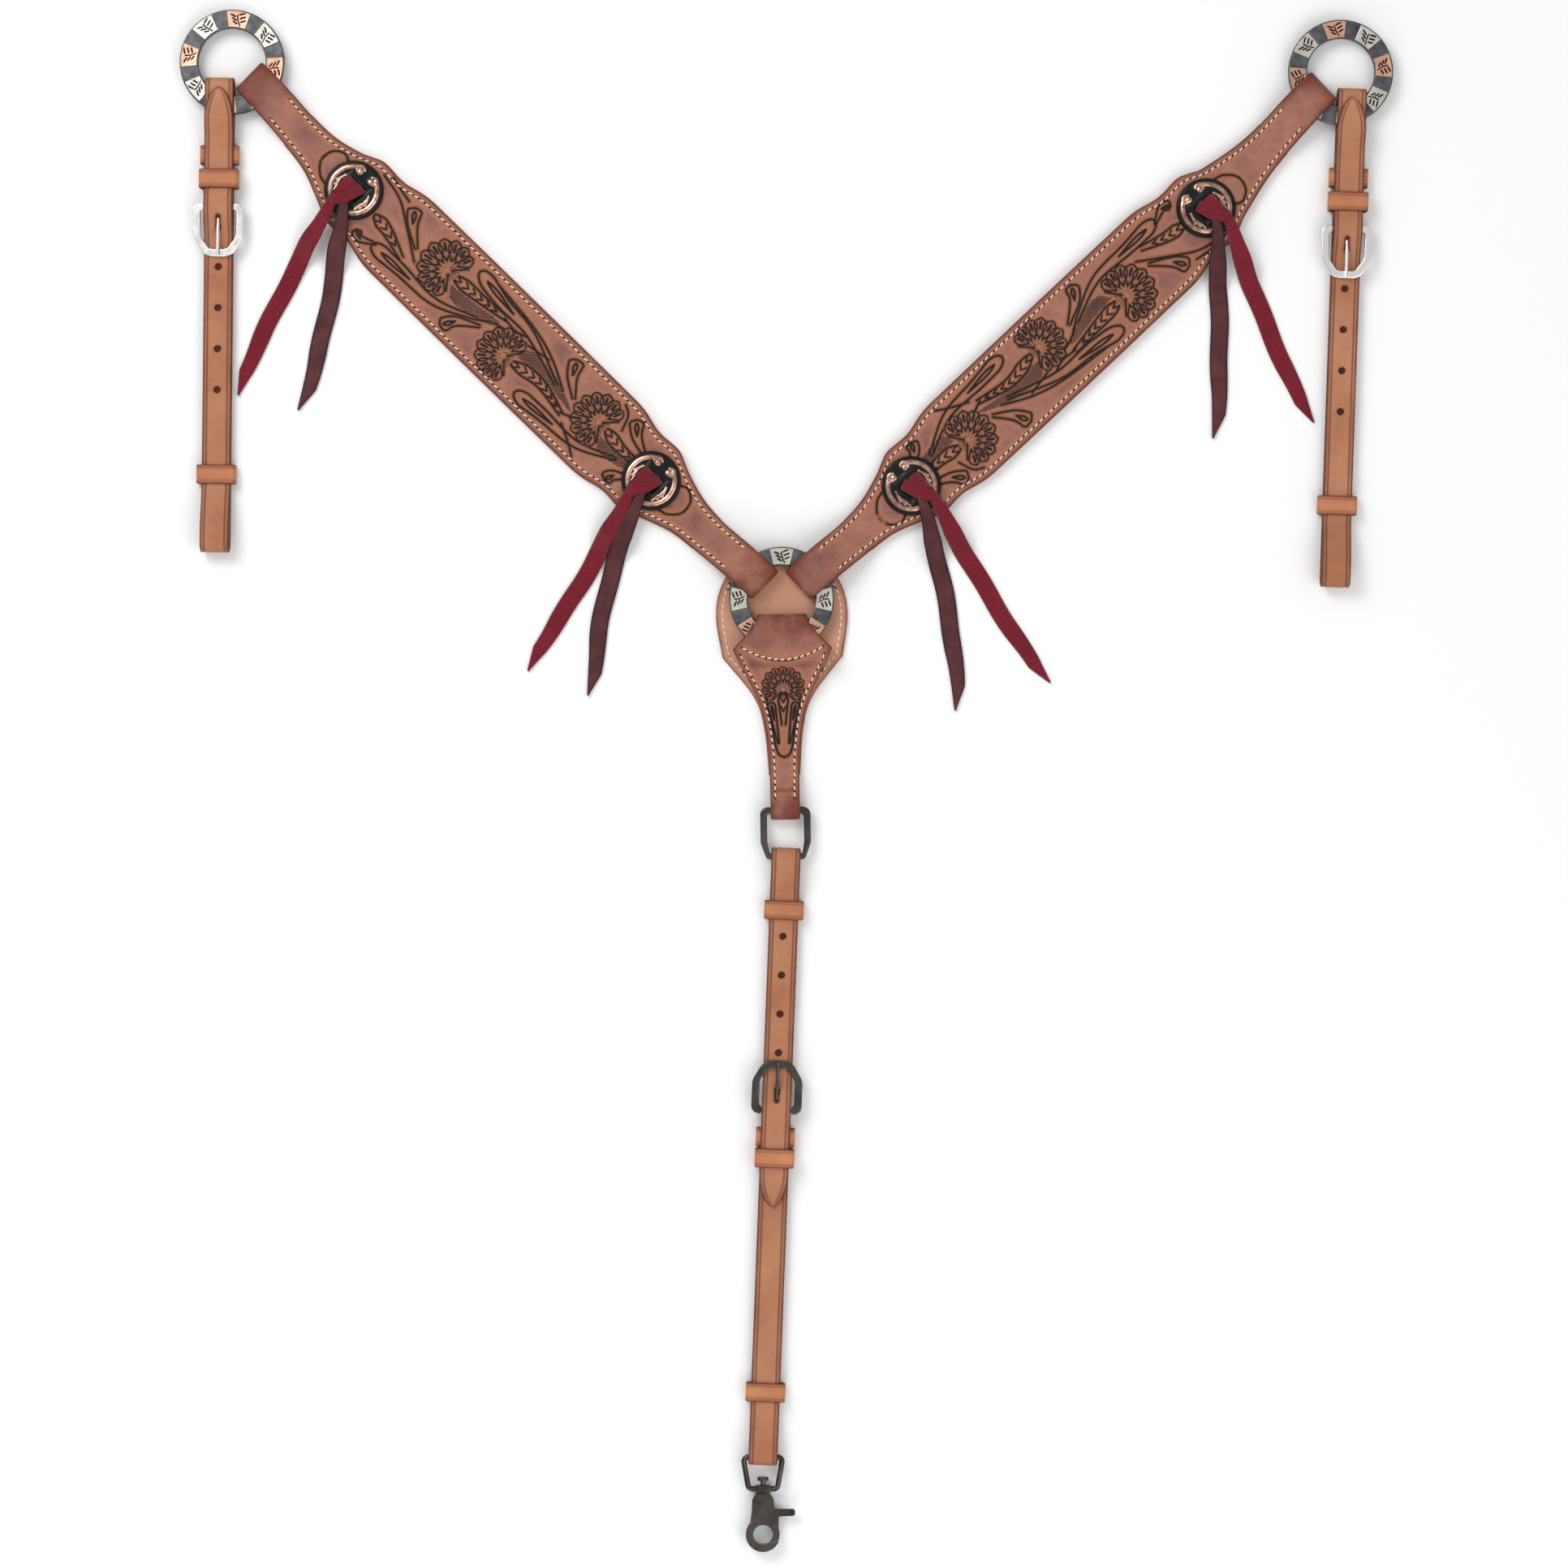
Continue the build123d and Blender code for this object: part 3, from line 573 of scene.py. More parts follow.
def metal(name, bright, dull, rough=0.25, tarnish=0.5, wear=45.0, recess=None):
    """Plated or cast metal with uneven tarnish, and dark recesses where it is engraved."""
    shader = Shader(name, Metallic=1.0)
    patches = shader.span(shader.noise(wear, 6.0, 0.6), 0.35, 0.65, 0.0, tarnish)
    colour = shader.mix(patches, bright, dull)
    if recess:
        colour = shader.mix(shader.span(shader.field("tool"), 0.15, 0.7), colour, recess)
    shader.bump(shader.noise(600.0, 5.0), 0.08)
    return shader.finish(colour, shader.span(shader.noise(220.0), 0.3, 0.7, rough - 0.05, rough + 0.1))


TOOLED = leather("tooled_leather_finish", (0.42, 0.185, 0.13), (0.22, 0.09, 0.075),
                 (0.14, 0.034, 0.02), (0.012, 0.005, 0.004), 0.6, 0.42, 36.0,
                 ((0.43, 0.165, 0.085), (0.17, 0.034, 0.016)))
STRAP = leather("strap_leather_finish", (0.5, 0.225, 0.125), (0.37, 0.145, 0.073),
                (0.13, 0.034, 0.02), (0.075, 0.02, 0.013), 0.3, 0.45, 24.0)
KEEPER = leather("keeper_leather_finish", (0.57, 0.235, 0.115), (0.45, 0.17, 0.08),
                 (0.17, 0.045, 0.025), (0.12, 0.032, 0.018), 0.25, 0.42, 40.0)
LINING = leather("lining_leather_finish", (0.62, 0.33, 0.215), (0.52, 0.255, 0.16),
                 (0.22, 0.065, 0.036), (0.1, 0.03, 0.02), 0.3, 0.6, 20.0)
GRAIN_LACE = leather("dark_lace_finish", (0.12, 0.03, 0.034), (0.062, 0.017, 0.02),
                     (0.03, 0.009, 0.01), (0.03, 0.01, 0.01), 0.7, 0.45, 70.0)
SUEDE_LACE = suede("crimson_lace_finish", (0.27, 0.02, 0.036), (0.12, 0.01, 0.018))
THREAD_SHADER = Shader("thread_finish", Roughness=0.7)
THREAD = THREAD_SHADER.finish(THREAD_SHADER.mix(
    THREAD_SHADER.noise(1400.0), (0.92, 0.82, 0.77), (0.7, 0.52, 0.47)))
RING_METAL = metal("ring_metal_finish", (0.16, 0.16, 0.165), (0.055, 0.055, 0.06), 0.4, 0.95, 120.0)
SILVER = metal("silver_panel_finish", (0.74, 0.72, 0.64), (0.5, 0.47, 0.39), 0.32, 0.6, 70.0,
               (0.012, 0.011, 0.01))
COPPER = metal("copper_panel_finish", (0.8, 0.47, 0.35), (0.54, 0.28, 0.19), 0.32, 0.6, 70.0,
               (0.02, 0.01, 0.008))
NICKEL = metal("nickel_finish", (0.93, 0.91, 0.89), (0.82, 0.8, 0.77), 0.2, 0.5)
GUNMETAL = metal("gunmetal_finish", (0.13, 0.115, 0.105), (0.04, 0.034, 0.03), 0.2, 0.8)


def concho_metal():
    """Black enamel with raised copper scrolls: the field tool says where the copper is."""
    shader = Shader("concho_finish", Specular_IOR_Level=0.2)
    copper = shader.span(shader.field("tool"), 0.35, 0.55)
    worn = shader.mix(shader.span(shader.noise(300.0), 0.3, 0.7), (0.7, 0.43, 0.33), (0.27, 0.13, 0.09))
    colour = shader.mix(copper, (0.008, 0.0075, 0.008), worn)
    shader.put(shader.surface.inputs["Metallic"], copper)
    return shader.finish(colour, shader.span(shader.noise(260.0), 0.3, 0.7, 0.2, 0.34))


CONCHO = concho_metal()


# ---- shoulder arms ----

CENTRE = joint_at("centre_ring_spin")
ARM_LENGTH = float(np.linalg.norm((CENTRE - joint_at("left_ring_spin"))[:2]))
ARM_END = ((10, 12.2, 1.4), (35, 12.6, 0.6), (62, 13.0, -1.5), (82, 14.8, -2.8))
ARM_SHOULDER = ((100, 20.4), (108, 23.8), (117, 27.0), (134, 26.4), (152, 30.2), (175, 30.7))
RING_END = ((82, 14.8, -3.8), (62, 13.0, -3.5), (35, 12.8, -1.8), (10, 12.3, -0.8))
SHOULDER_LATER = {"left": 0.0, "right": 8.0}


def arm_rows(later):
    return (
        *ARM_END, *[(x + later, half, ARM_SHIFT) for x, half in ARM_SHOULDER],
        (ARM_LENGTH / 2, 30.9, ARM_SHIFT),
        *[(ARM_LENGTH - x, half, ARM_SHIFT) for x, half in reversed(ARM_SHOULDER)],
        *[(ARM_LENGTH - x, half, shift) for x, half, shift in RING_END],
    )


def edges_of(rows, flip=1):
    """The two edges of an outline, as functions of X."""
    lower = smooth([(x, flip * shift - half) for x, half, shift in rows])
    upper = smooth([(x, flip * shift + half) for x, half, shift in rows])
    return (lambda x: np.interp(x, *lower.T)), (lambda x: np.interp(x, *upper.T))


def beside(line_x, edge, inward, height):
    """A row of points STITCH_INSET inside an edge, on the surface. height gives Z for X."""
    y = edge(line_x) + inward * STITCH_INSET
    return np.stack([line_x, y, height(line_x)], 1)


def add_arm(side, flip):
    ring = joint_at(f"{side}_ring_spin")
    place, body, far = (ring, heading(ring, CENTRE)), f"{side}_arm", ARM_LENGTH
    lower, upper = edges_of(arm_rows(SHOULDER_LATER[side]), flip)
    folds = [
        (60, 1.5), (14.9, 1.5), (14.9, 11.5), (38, 11.5), (62, 4.55), (far - 68, 4.55),
        (far - 40, 13.8), (far - 15.0, 13.8), (far - 15.0, 4.8), (far - 48, 4.8),
        (far - 60, 1.5), (far - 64, 1.5),
    ]
    line = rounded(folds, [4.5, 4.5, 20, 20, 20, 20, 4, 4, 10, 10])
    top = np.gradient(line[:, 0]) > 0
    tooled = top & (line[:, 0] > 84) & (line[:, 0] < far - 84)
    line = thinned(line, np.where(tooled, 0.6, np.where(top, 1.5, 2.5)))
    rising = np.gradient(line[:, 0]) > 0
    stitched = np.linspace(44, far - 40, 400)

    def height(x):
        return np.interp(x, line[rising, 0], line[rising, 1]) + LEATHER / 2 + 0.02

    rows = [beside(stitched, lower, 1, height), beside(stitched, upper, -1, height)]
    spots = {level: box_middle(f"{side}_{level}_concho") * (1, 1, 0) for level in ("upper", "lower")}

    def work(x, y, low, high):
        relief = Relief(np.where(rising[:, None], x, -1e3), y)
        turned = 1 if side == "left" else -1
        tool_arm(relief, flip, turned, SHOULDER_LATER[side] * 0.75)
        for spot, around in ((spots["upper"], 1), (spots["lower"], -1)):
            x_at, y_at = from_row(spot, *place)
            relief.carve(smooth([(x_at + around * a, y_at + flip * turned * b) for a, b in CONCHO_COLLAR]))
        for row in rows:
            relief.carve(even(row[:, :2], 6.0), 0.8, 0.32, 0.5, 0)
            # Painted shade: each stitch hole is a small dip coloured fully dark, as the shade inside the hole.
            for mark in even(row, STITCH_PITCH):
                near = np.hypot(relief.x - mark[0], relief.y - mark[1]) < 0.62
                relief.dark[near] = 1.0
                relief.height[near] = -0.6
        rim = np.minimum(y - low, high - y)
        end = np.minimum(x - 11, far - 11 - x)
        burn = np.clip(1 - end / 42, 0, 1) * (0.75 + 0.5 * np.exp(-rim / 3.0)) + 0.45 * np.exp(-rim / 3.2)
        return relief.height, relief.dark, {"warm": relief.warm, "burn": burn}

    points, faces, fields = strip(line, lower(line[:, 0]), upper(line[:, 0]), LEATHER, 1,
                                  np.linspace(0, 1, 100), work)
    add_piece(f"{side}_arm_tooled_front", points, faces, place, body, "tooled_leather", TOOLED,
              [f"{side}_arm_front"], fields)
    add_stitches(f"{side}_arm_stitching", rows, place, body, "tooled_leather")
    back = np.stack([np.linspace(61, far - 65, 180), np.full(180, 1.5)], 1)
    points, faces, fields = strip(back, lower(back[:, 0]) - 0.35, upper(back[:, 0]) + 0.35, LEATHER, -1,
                                  np.linspace(0, 1, 14))
    add_piece(f"{side}_arm_back", points, faces, place, body, "lining_leather", LINING,
              [f"{side}_arm_lining"], fields)
    flat = np.linspace(66, far - 70, 380)

    def underside(x):
        return np.full(x.shape, BACK_STITCH_Z)

    add_stitches(f"{side}_arm_back_stitching",
                 [beside(flat, lower, 1, underside), beside(flat, upper, -1, underside)],
                 place, body, "lining_leather")
    for level, spot in spots.items():
        add_concho(f"{side}_{level}", (spot, place[1] + 90 - 90 * flip), body)
        add_laces(side, level, flip, spot, place[1], body)


# ---- conchos and laces ----


def add_concho(prefix, place, body):
    """A domed black disc with raised copper scrolls round a square with two slots."""
    reach = np.linspace(0.01, 1, 54) * CONCHO_R
    n = 176
    turn = np.linspace(0, 2 * math.pi, n, endpoint=False)
    r, t = np.meshgrid(reach, turn, indexing="ij")
    x, y = r * np.cos(t), r * np.sin(t)
    dome = 3.0 - 0.9 * (r / CONCHO_R) ** 2 + 0.35 * np.exp(-((r - 18.2) / 0.7) ** 2)
    dome -= 1.6 * np.clip((r - 18.8) / 0.7, 0, 1) ** 2
    square = np.maximum(np.abs(x), np.abs(y))
    dome += 0.45 * np.exp(-((square - 8.6) / 0.6) ** 2) * (r < 15)
    slots = (np.abs(y) < 5.6) & (np.abs(np.abs(x) - 4.1) < 2.2)
    dome[slots] = 0.6
    scrolls = Relief(x, y)
    for side in (-1, 1):
        arc = np.radians(np.linspace(64, -78, 24))
        line = np.stack([side * 15.4 * np.cos(arc), 15.4 * np.sin(arc)], 1)
        scrolls.carve(line, 1.5, 1.0, 1.0, 0)
        curl = np.radians(np.linspace(0, 250, 14))
        size = np.linspace(3.4, 1.2, 14)
        curled = np.stack([side * (6.2 - size * np.cos(curl + 0.6)), 12.2 + size * np.sin(curl + 0.6)], 1)
        scrolls.carve(curled, 0.9, 1.0, 1.0, 0)
        scrolls.carve([(side * 4.9, 11.4), (side * 5.1, 11.6)], 2.0, 1.2, 1.0, 0)
        scrolls.carve([(side * 5.0, -15.4), (side * 4.4, -14.6)], 1.4, 1.0, 1.0, 0)
        for low, high in ((20, -12), (2, -28), (-16, -44)):
            a, b = math.radians(low), math.radians(high)
            leaflet = [(side * 10.9 * math.cos(a), 10.9 * math.sin(a)),
                       (side * 12.9 * math.cos(b), 12.9 * math.sin(b))]
            scrolls.carve(leaflet, 0.75, 0.8, 1.0, 0)
    outside = (square > 9.0) & (r < 18.0)
    raised = np.where(outside, -scrolls.height, 0)
    copper = np.where(outside, scrolls.dark, 0)
    z = ARM_TOP + 0.05 + np.minimum(dome + 0.7 * raised, 3.55)
    top = np.stack([x.ravel(), y.ravel(), z.ravel()], 1)
    rim = np.stack([x[-1], y[-1], np.full(n, ARM_TOP)], 1)
    points = np.vstack([top, rim, [(0, 0, z[0].mean())], [(0, 0, ARM_TOP)]])
    faces = []
    for i in range(len(reach)):
        here, outer = i * n, (i + 1) * n
        faces += [(here + k, here + (k + 1) % n, outer + (k + 1) % n, outer + k) for k in range(n)]
    middle, under, last = len(points) - 2, len(points) - 1, len(reach) * n
    faces += [(middle, k, (k + 1) % n) for k in range(n)]
    faces += [(under, last + (k + 1) % n, last + k) for k in range(n)]
    tool = np.concatenate([copper.ravel(), np.zeros(n + 2)])
    add_piece(f"{prefix}_concho_scrolled", points, faces, place, body, "concho_metal", CONCHO,
              [f"{prefix}_concho"], {"tool": tool})


def ribbon(line, half, thick, roll=None, columns=9):
    """A limp ribbon along a line in space: points, faces and fields. roll tilts it, in degrees."""
    line = np.asarray(line, float)
    ahead = np.gradient(line, axis=0)
    ahead /= np.linalg.norm(ahead, axis=1)[:, None]
    level = np.stack([-ahead[:, 1], ahead[:, 0], np.zeros(len(line))], 1)
    level /= np.maximum(np.linalg.norm(level, axis=1), 1e-6)[:, None]
    up = np.cross(ahead, level)
    tilt = np.radians(np.zeros(len(line)) if roll is None else roll)[:, None]
    aside = level * np.cos(tilt) + up * np.sin(tilt)
    out = up * np.cos(tilt) - level * np.sin(tilt)
    share = np.linspace(-1, 1, columns)
    bulge = np.sqrt(np.clip(1 - share**6, 0, 1)) * 0.5
    bulge[[0, -1]] = 0.12
    ring_y = np.concatenate([share, share[::-1]])
    ring_z = np.concatenate([bulge, -bulge]) * thick
    points = (line[:, None, :] + aside[:, None, :] * (half[:, None] * ring_y)[:, :, None]
              + out[:, None, :] * ring_z[None, :, None])
    count, ring = len(line), len(ring_y)
    faces = []
    for i in range(count - 1):
        a, b = i * ring, (i + 1) * ring
        faces += [(a + j, a + (j + 1) % ring, b + (j + 1) % ring, b + j) for j in range(ring)]
    faces += [tuple(range(ring)), tuple(range((count - 1) * ring, count * ring))]
    edge = np.tile(np.abs(ring_y) ** 6, (count, 1))
    return points.reshape(-1, 3), faces, {"edge": edge, "tool": np.zeros(edge.shape)}


def joined(parts):
    """Several meshes as one: points, faces and fields."""
    points, faces, fields, start = [], [], {"edge": [], "tool": []}, 0
    for part_points, part_faces, part_fields in parts:
        points.append(part_points)
        faces += [tuple(v + start for v in face) for face in part_faces]
        for key in fields:
            fields[key].append(np.asarray(part_fields[key]).ravel())
        start += len(part_points)
    return np.vstack(points), faces, {key: np.concatenate(values) for key, values in fields.items()}


LACE_HALF = 6.1
KNOT_SHIFT = (9.5, -6.0)
TAILS = {
    ("left", "upper"): ((144, 27.0, -2), (140, 11.5, 3)),
    ("left", "lower"): ((138, 30.5, 3), (138, 13.6, -7)),
    ("right", "upper"): ((147, 22.5, -2), (144, 0.8, 2)),
    ("right", "lower"): ((147, 31.5, -2), (142, 10.5, 4)),
}
ROW_PLACE = ((0.0, 0.0), 0.0)


def add_laces(side, level, flip, spot, angle, body):
    """A lace up through both slots, gathered in a knot, with two tails."""
    prefix = f"{side}_{level}_lace"
    knot = spot + np.array([-flip * KNOT_SHIFT[0], KNOT_SHIFT[1], 0])
    parts = []
    for along in (-1, 1):
        slot = to_row([(along * 4.1 - 1.2, 3.9 * flip, 0)], spot, angle)[0]
        near_knot = knot + to_row([(along * 2.2, 0, 0)], (0, 0), angle)[0]
        route = smooth([slot + (0, 0, 6.6), slot + (0, 0, 9.2),
                        slot * 0.66 + near_knot * 0.34 + (0, 0, 11.1),
                        slot * 0.3 + near_knot * 0.7 + (0, 0, 11.8), near_knot + (0, 0, 10.8)], 6)
        half = np.interp(np.linspace(0, 1, len(route)), [0, 0.5, 1], [3.7, 3.9, 3.2])
        parts.append(ribbon(route, half, 1.6, np.linspace(0, along * 24, len(route))))
    turn = np.radians(np.linspace(-64, 244, 26))
    crossing = np.array([1.0, 0.25 * flip, 0])
    loop = [knot + crossing * 5.8 * math.cos(a) + (0, 0, 10.9 + 2.1 * math.sin(a)) for a in turn]
    parts.append(ribbon(np.array(loop), np.full(26, 3.4), 1.5, np.linspace(-14, 14, 26)))
    points, faces, fields = joined(parts)
    add_piece(f"{prefix}_wrap", points, faces, ROW_PLACE, body, "crimson_lace", SUEDE_LACE,
              [f"{prefix}_knot"], fields)
    for name, lean, (length, swing, bend) in zip(("outer", "inner"), (1, -1), TAILS[side, level]):
        way = -90 - flip * swing
        start = knot + to_row([(lean * flip * 3.5, 0, 0)], (0, 0), way - 90)[0]
        line = rounded([(-2, 10.9), (9, 11.2), (14, 11.0), (20, 7.9), (34, 7.9), (47, 1.0), (length, 1.0)],
                       [8, 8, 4, 6, 6], 2.0)
        share = np.clip(line[:, 0] / length, 0, 1)
        wave = bend * np.sin(math.pi * share) + 0.5 * np.sin(share * 17)
        half = np.interp(line[:, 0], [-2, 8, 30, length * 0.72, length - 16, length],
                         [3.0, 3.6, LACE_HALF, LACE_HALF * 0.94, LACE_HALF * 0.74, 0.5])
        point = np.clip((line[:, 0] - length + 16) / 16, 0, 1) * lean * 2.6
        roll = 16 * np.sin(share * 5.2 + 0.8) * np.exp(-((share - 0.2) / 0.22) ** 2) * lean
        lift = np.abs(np.sin(np.radians(roll))) * half
        route = np.stack([line[:, 0], wave + point, line[:, 1] + lift], 1)
        kind, material = ("crimson_lace", SUEDE_LACE) if name == "outer" else ("dark_red_lace", GRAIN_LACE)
        points, faces, fields = ribbon(route, half, 1.75, roll, 11)
        add_piece(f"{prefix}_{name}_end", points, faces, (start, way), body, kind, material,
                  [f"{prefix}_{name}_tail"], fields)


# ---- centre piece ----

LINK_HALF_BAR = 2.2
BAR_PLAY = 1.0
SHOULDER = (32.4, 32.4)
PAD_CORNER = (37.5, 39.3)


def add_centre():
    bar = joint_at("link_fold")
    far, bar_z = float(np.linalg.norm((bar - CENTRE)[:2])), bar[2]
    place = (CENTRE, heading(CENTRE, bar))
    drop = BAR_PLAY + LINK_HALF_BAR + LEATHER / 2
    folds = [
        (50, 4.6), (11.2, 4.6), (11.2, 13.8), (39, 13.8), (44, 7.75), (54, 7.75), (64, 4.6),
        (far - 26, 4.6), (far - 6, bar_z + drop), (far + drop, bar_z + drop),
        (far + drop, bar_z - drop), (far - 22, bar_z - drop),
    ]
    line = rounded(folds, [4, 4, 4, 4, 10, 10, 14, 14, 4.5, 4.5])
    top = np.gradient(line[:, 0]) > 0
    line = thinned(line, np.where(top & (line[:, 0] > 24) & (line[:, 0] < 112), 0.5, 1.2))
    rising = np.gradient(line[:, 0]) > 0
    neck = [SHOULDER, (44, 27), (51, 23.2), (61.2, 18.2), (71.4, 14.5), (81.5, 12.4), (91.7, 11.1),
            (107.9, 9.8), (far + 8, 9.5)]
    rows = np.vstack([smooth([(5, 16.6), (13.6, 16.8), (22, 22.5), SHOULDER])[:-1], smooth(neck)])

    def edge(x):
        return np.interp(x, *rows.T)

    def height(x):
        return np.interp(x, line[rising, 0], line[rising, 1]) + LEATHER / 2 + 0.02

    seam_x = np.linspace(36, far - 8, 200)
    seam_y = edge(seam_x) - STITCH_INSET + 0.6
    seams = [np.stack([seam_x, side * seam_y, height(seam_x)], 1) for side in (-1, 1)]
    bow = np.linspace(-26.5, 26.5, 40)
    bow_x = 39.5 - 8.2 * (bow / 26.5) ** 2
    seams.append(np.stack([bow_x, bow, height(bow_x)], 1))

    def work(x, y, low, high):
        relief = Relief(np.where(rising[:, None], x, -1e3), y)
        tool_centre(relief)
        for row in seams:
            relief.carve(even(row[:, :2], 4.0), 0.8, 0.32, 0.5, 0)
            # Painted shade: each stitch hole is a small dip coloured fully dark, as the shade inside the hole.
            for mark in even(row, STITCH_PITCH):
                near = np.hypot(relief.x - mark[0], relief.y - mark[1]) < 0.6
                relief.dark[near] = 1.0
                relief.height[near] = -0.6
        relief.carve(smooth([(far - 13, -5.4), (far - 12.6, 0), (far - 13, 5.4)]), 0.6, 0.4, 0.9)
        rim = np.minimum(y - low, high - y)
        ends = np.clip(1 - (x - 8) / 36, 0, 1) + np.clip((x - far + 22) / 22, 0, 1)
        return relief.height, relief.dark, {"warm": relief.warm, "burn": ends + 0.4 * np.exp(-rim / 3.0)}

    half = edge(line[:, 0])
    points, faces, fields = strip(line, -half, half, LEATHER, 1, np.linspace(0, 1, 110), work)
    add_piece("centre_piece_tooled", points, faces, place, "centre", "tooled_leather", TOOLED,
              ["centre_piece"], fields)
    add_stitches("centre_piece_stitching", seams, place, "centre", "tooled_leather")
    add_pad(place, far)


def add_pad(place, far):
    """The round backing pad with its own row of stitches."""
    neck = smooth([PAD_CORNER, (51, 28.2), (61.2, 20.6), (71.4, 15.6), (81.5, 13.3), (91.7, 11.8),
                   (far - 23, 10.2)])
    around = smooth([(-33.5, 0), (-26, 25), (-10.8, 38.5), (10, 43), PAD_CORNER])
    outline = np.vstack([around[:-1], neck])
    edge_x = -33.5 + (far - 23 + 33.5) * (1 - np.cos(np.linspace(0.0, math.pi / 2, 90)))
    half = np.interp(edge_x, *outline.T)
    half[0] = 1.5
    line = np.stack([edge_x, np.full(90, 1.5)], 1)
    sides = [np.stack([outline[4:-3, 0], side * outline[4:-3, 1]], 1) for side in (-1, 1)]
    rows = []
    for side, run in zip((-1, 1), sides):
        ahead = np.gradient(even(run, 2.0), axis=0)
        ahead /= np.linalg.norm(ahead, axis=1)[:, None]
        run = even(run, 2.0) + side * 4.2 * np.stack([ahead[:, 1], -ahead[:, 0]], 1)
        rows.append(np.stack([run[:, 0], run[:, 1], np.full(len(run), 3.02)], 1))

    def work(x, y, low, high):
        relief = Relief(x, y)
        for row in rows:
            relief.carve(even(row[:, :2], 4.0), 0.8, 0.3, 0.4, 0)
            # Painted shade: each stitch hole is a dark dot, standing in for the shade inside the hole.
            for mark in even(row, STITCH_PITCH):
                near = np.hypot(x - mark[0], y - mark[1]) < 0.8
                relief.dark[near] = 1.0
        return relief.height, relief.dark, {}

    points, faces, fields = strip(line, -half, half, LEATHER, 1, np.linspace(0, 1, 40), work)
    add_piece("backing_pad_leather", points, faces, place, "centre", "lining_leather", LINING,
              ["backing_pad"], fields)
    add_stitches("backing_pad_stitching", rows, place, "centre", "lining_leather")


# ---- rings ----


def add_ring_panels(ring, body, place, height, first_copper):
    """Engraved leaf panels, copper and silver by turns."""
    inner, outer, spread = 22.9, 33.3, math.radians(13.5)
    cells = 44
    for kind, first, material in (("copper", first_copper, COPPER), ("silver", first_copper + 45, SILVER)):
        parts = []
        for quarter in range(4):
            t, r = np.meshgrid(np.linspace(-spread, spread, cells), np.linspace(inner, outer, cells),
                               indexing="ij")
            relief = Relief(t / spread * 6.4, r - (inner + outer) / 2)
            relief.carve(smooth([(-2.4, -4.6), (-0.8, -1.8), (0, 0.6), (0.1, 2.4)]), 0.5, 0.5, 1.0, 0)
            for side, rows in ((1, (-3.3, -1.0, 1.3)), (-1, (-1.9, 0.4, 2.7))):
                for level in rows:
                    base = np.array([level * 0.32 + side * 1.1 - 0.4, level - 0.2])
                    tip = base + (side * 3.1, 1.9)
                    relief.carve([base * 0.85 + tip * 0.15, base * 0.1 + tip * 0.9], 0.62, 0.5, 1.0, 0)
            rim = np.maximum(np.abs(relief.x) / 6.4, np.abs(relief.y) / 5.2)
            relief.height += np.where(rim > 0.9, 0.12, 0)
            relief.dark *= rim < 0.9
            angle = t + math.radians(first + 90 * quarter)
            top = np.stack([r * np.cos(angle), r * np.sin(angle),
                            height + PANEL_THICK + 0.3 * relief.height], 2)
            low = top.copy()
            low[:, :, 2] = height - 0.05
            border = [(i, 0) for i in range(cells)] + [(cells - 1, j) for j in range(1, cells)]
            border += [(i, cells - 1) for i in range(cells - 2, -1, -1)]
            border += [(0, j) for j in range(cells - 2, 0, -1)]
            points = np.vstack([top.reshape(-1, 3), [low[i, j] for i, j in border]])
            faces = [(i * cells + j, (i + 1) * cells + j, (i + 1) * cells + j + 1, i * cells + j + 1)
                     for i in range(cells - 1) for j in range(cells - 1)]
            rimmed, base = len(border), cells * cells
            faces += [(border[k][0] * cells + border[k][1],
                       border[(k + 1) % rimmed][0] * cells + border[(k + 1) % rimmed][1],
                       base + (k + 1) % rimmed, base + k) for k in range(rimmed)]
            faces.append(tuple(base + k for k in range(rimmed)))
            tool = np.concatenate([relief.dark.ravel(), np.zeros(rimmed)])
            parts.append((points, faces, {"edge": tool * 0, "tool": tool}))
        points, faces, fields = joined(parts)
        add_piece(f"{ring}_{kind}_leaves", points, faces, place, body, f"{kind}_panel", material,
                  [f"{ring}_{kind}_panels"], fields)


def add_rings():
    for ring, body, joint, first in (
        ("left_ring", "left_shoulder_ring", "left_ring_spin", 82),
        ("right_ring", "right_shoulder_ring", "right_ring_spin", 98),
        ("centre_ring", "centre_ring", "centre_ring_spin", 45),
    ):
        middle = joint_at(joint)
        add_ring_panels(ring, body, (middle, 0), middle[2] + RING_THICK / 2, first)


# ---- straps ----

STRAP_LIFT = 1.8
BACK_Z = STRAP_LIFT + STRAP_LEATHER / 2
UNDER_Z = BACK_Z + STRAP_LEATHER + LAYER_GAP
TOP_Z = UNDER_Z + STRAP_LEATHER + 1.6
EYE_OUTER = 3.3
HUMP_Z = UNDER_Z - STRAP_LEATHER / 2 + 2 * EYE_OUTER + LAYER_GAP + STRAP_LEATHER / 2
DIP_Z = 1.9
BOW_R = 1.8
TWO_LAYERS = UNDER_Z + STRAP_LEATHER / 2
THREE_LAYERS = TOP_Z + STRAP_LEATHER / 2
FIRST_HOLE = 12.0
FREE_HOLES = 4
TIP_LENGTH = 19.0
EDGE_COLUMNS = (0, 0.5, 1.0, 1.4, 1.7, 1.95, 2.2, 2.6, 3.3, 4.2, 5.0, 5.7, 6.3, 6.8, 7.3, 7.8, 8.3)
ACROSS = np.array([*EDGE_COLUMNS, *[2 * 8.4 - c for c in reversed(EDGE_COLUMNS)]]) / (2 * 8.4)


def hump(buckle):
    return [(buckle - 12, TOP_Z), (buckle - 5, HUMP_Z), (buckle + 4, HUMP_Z), (buckle + 18, UNDER_Z)]


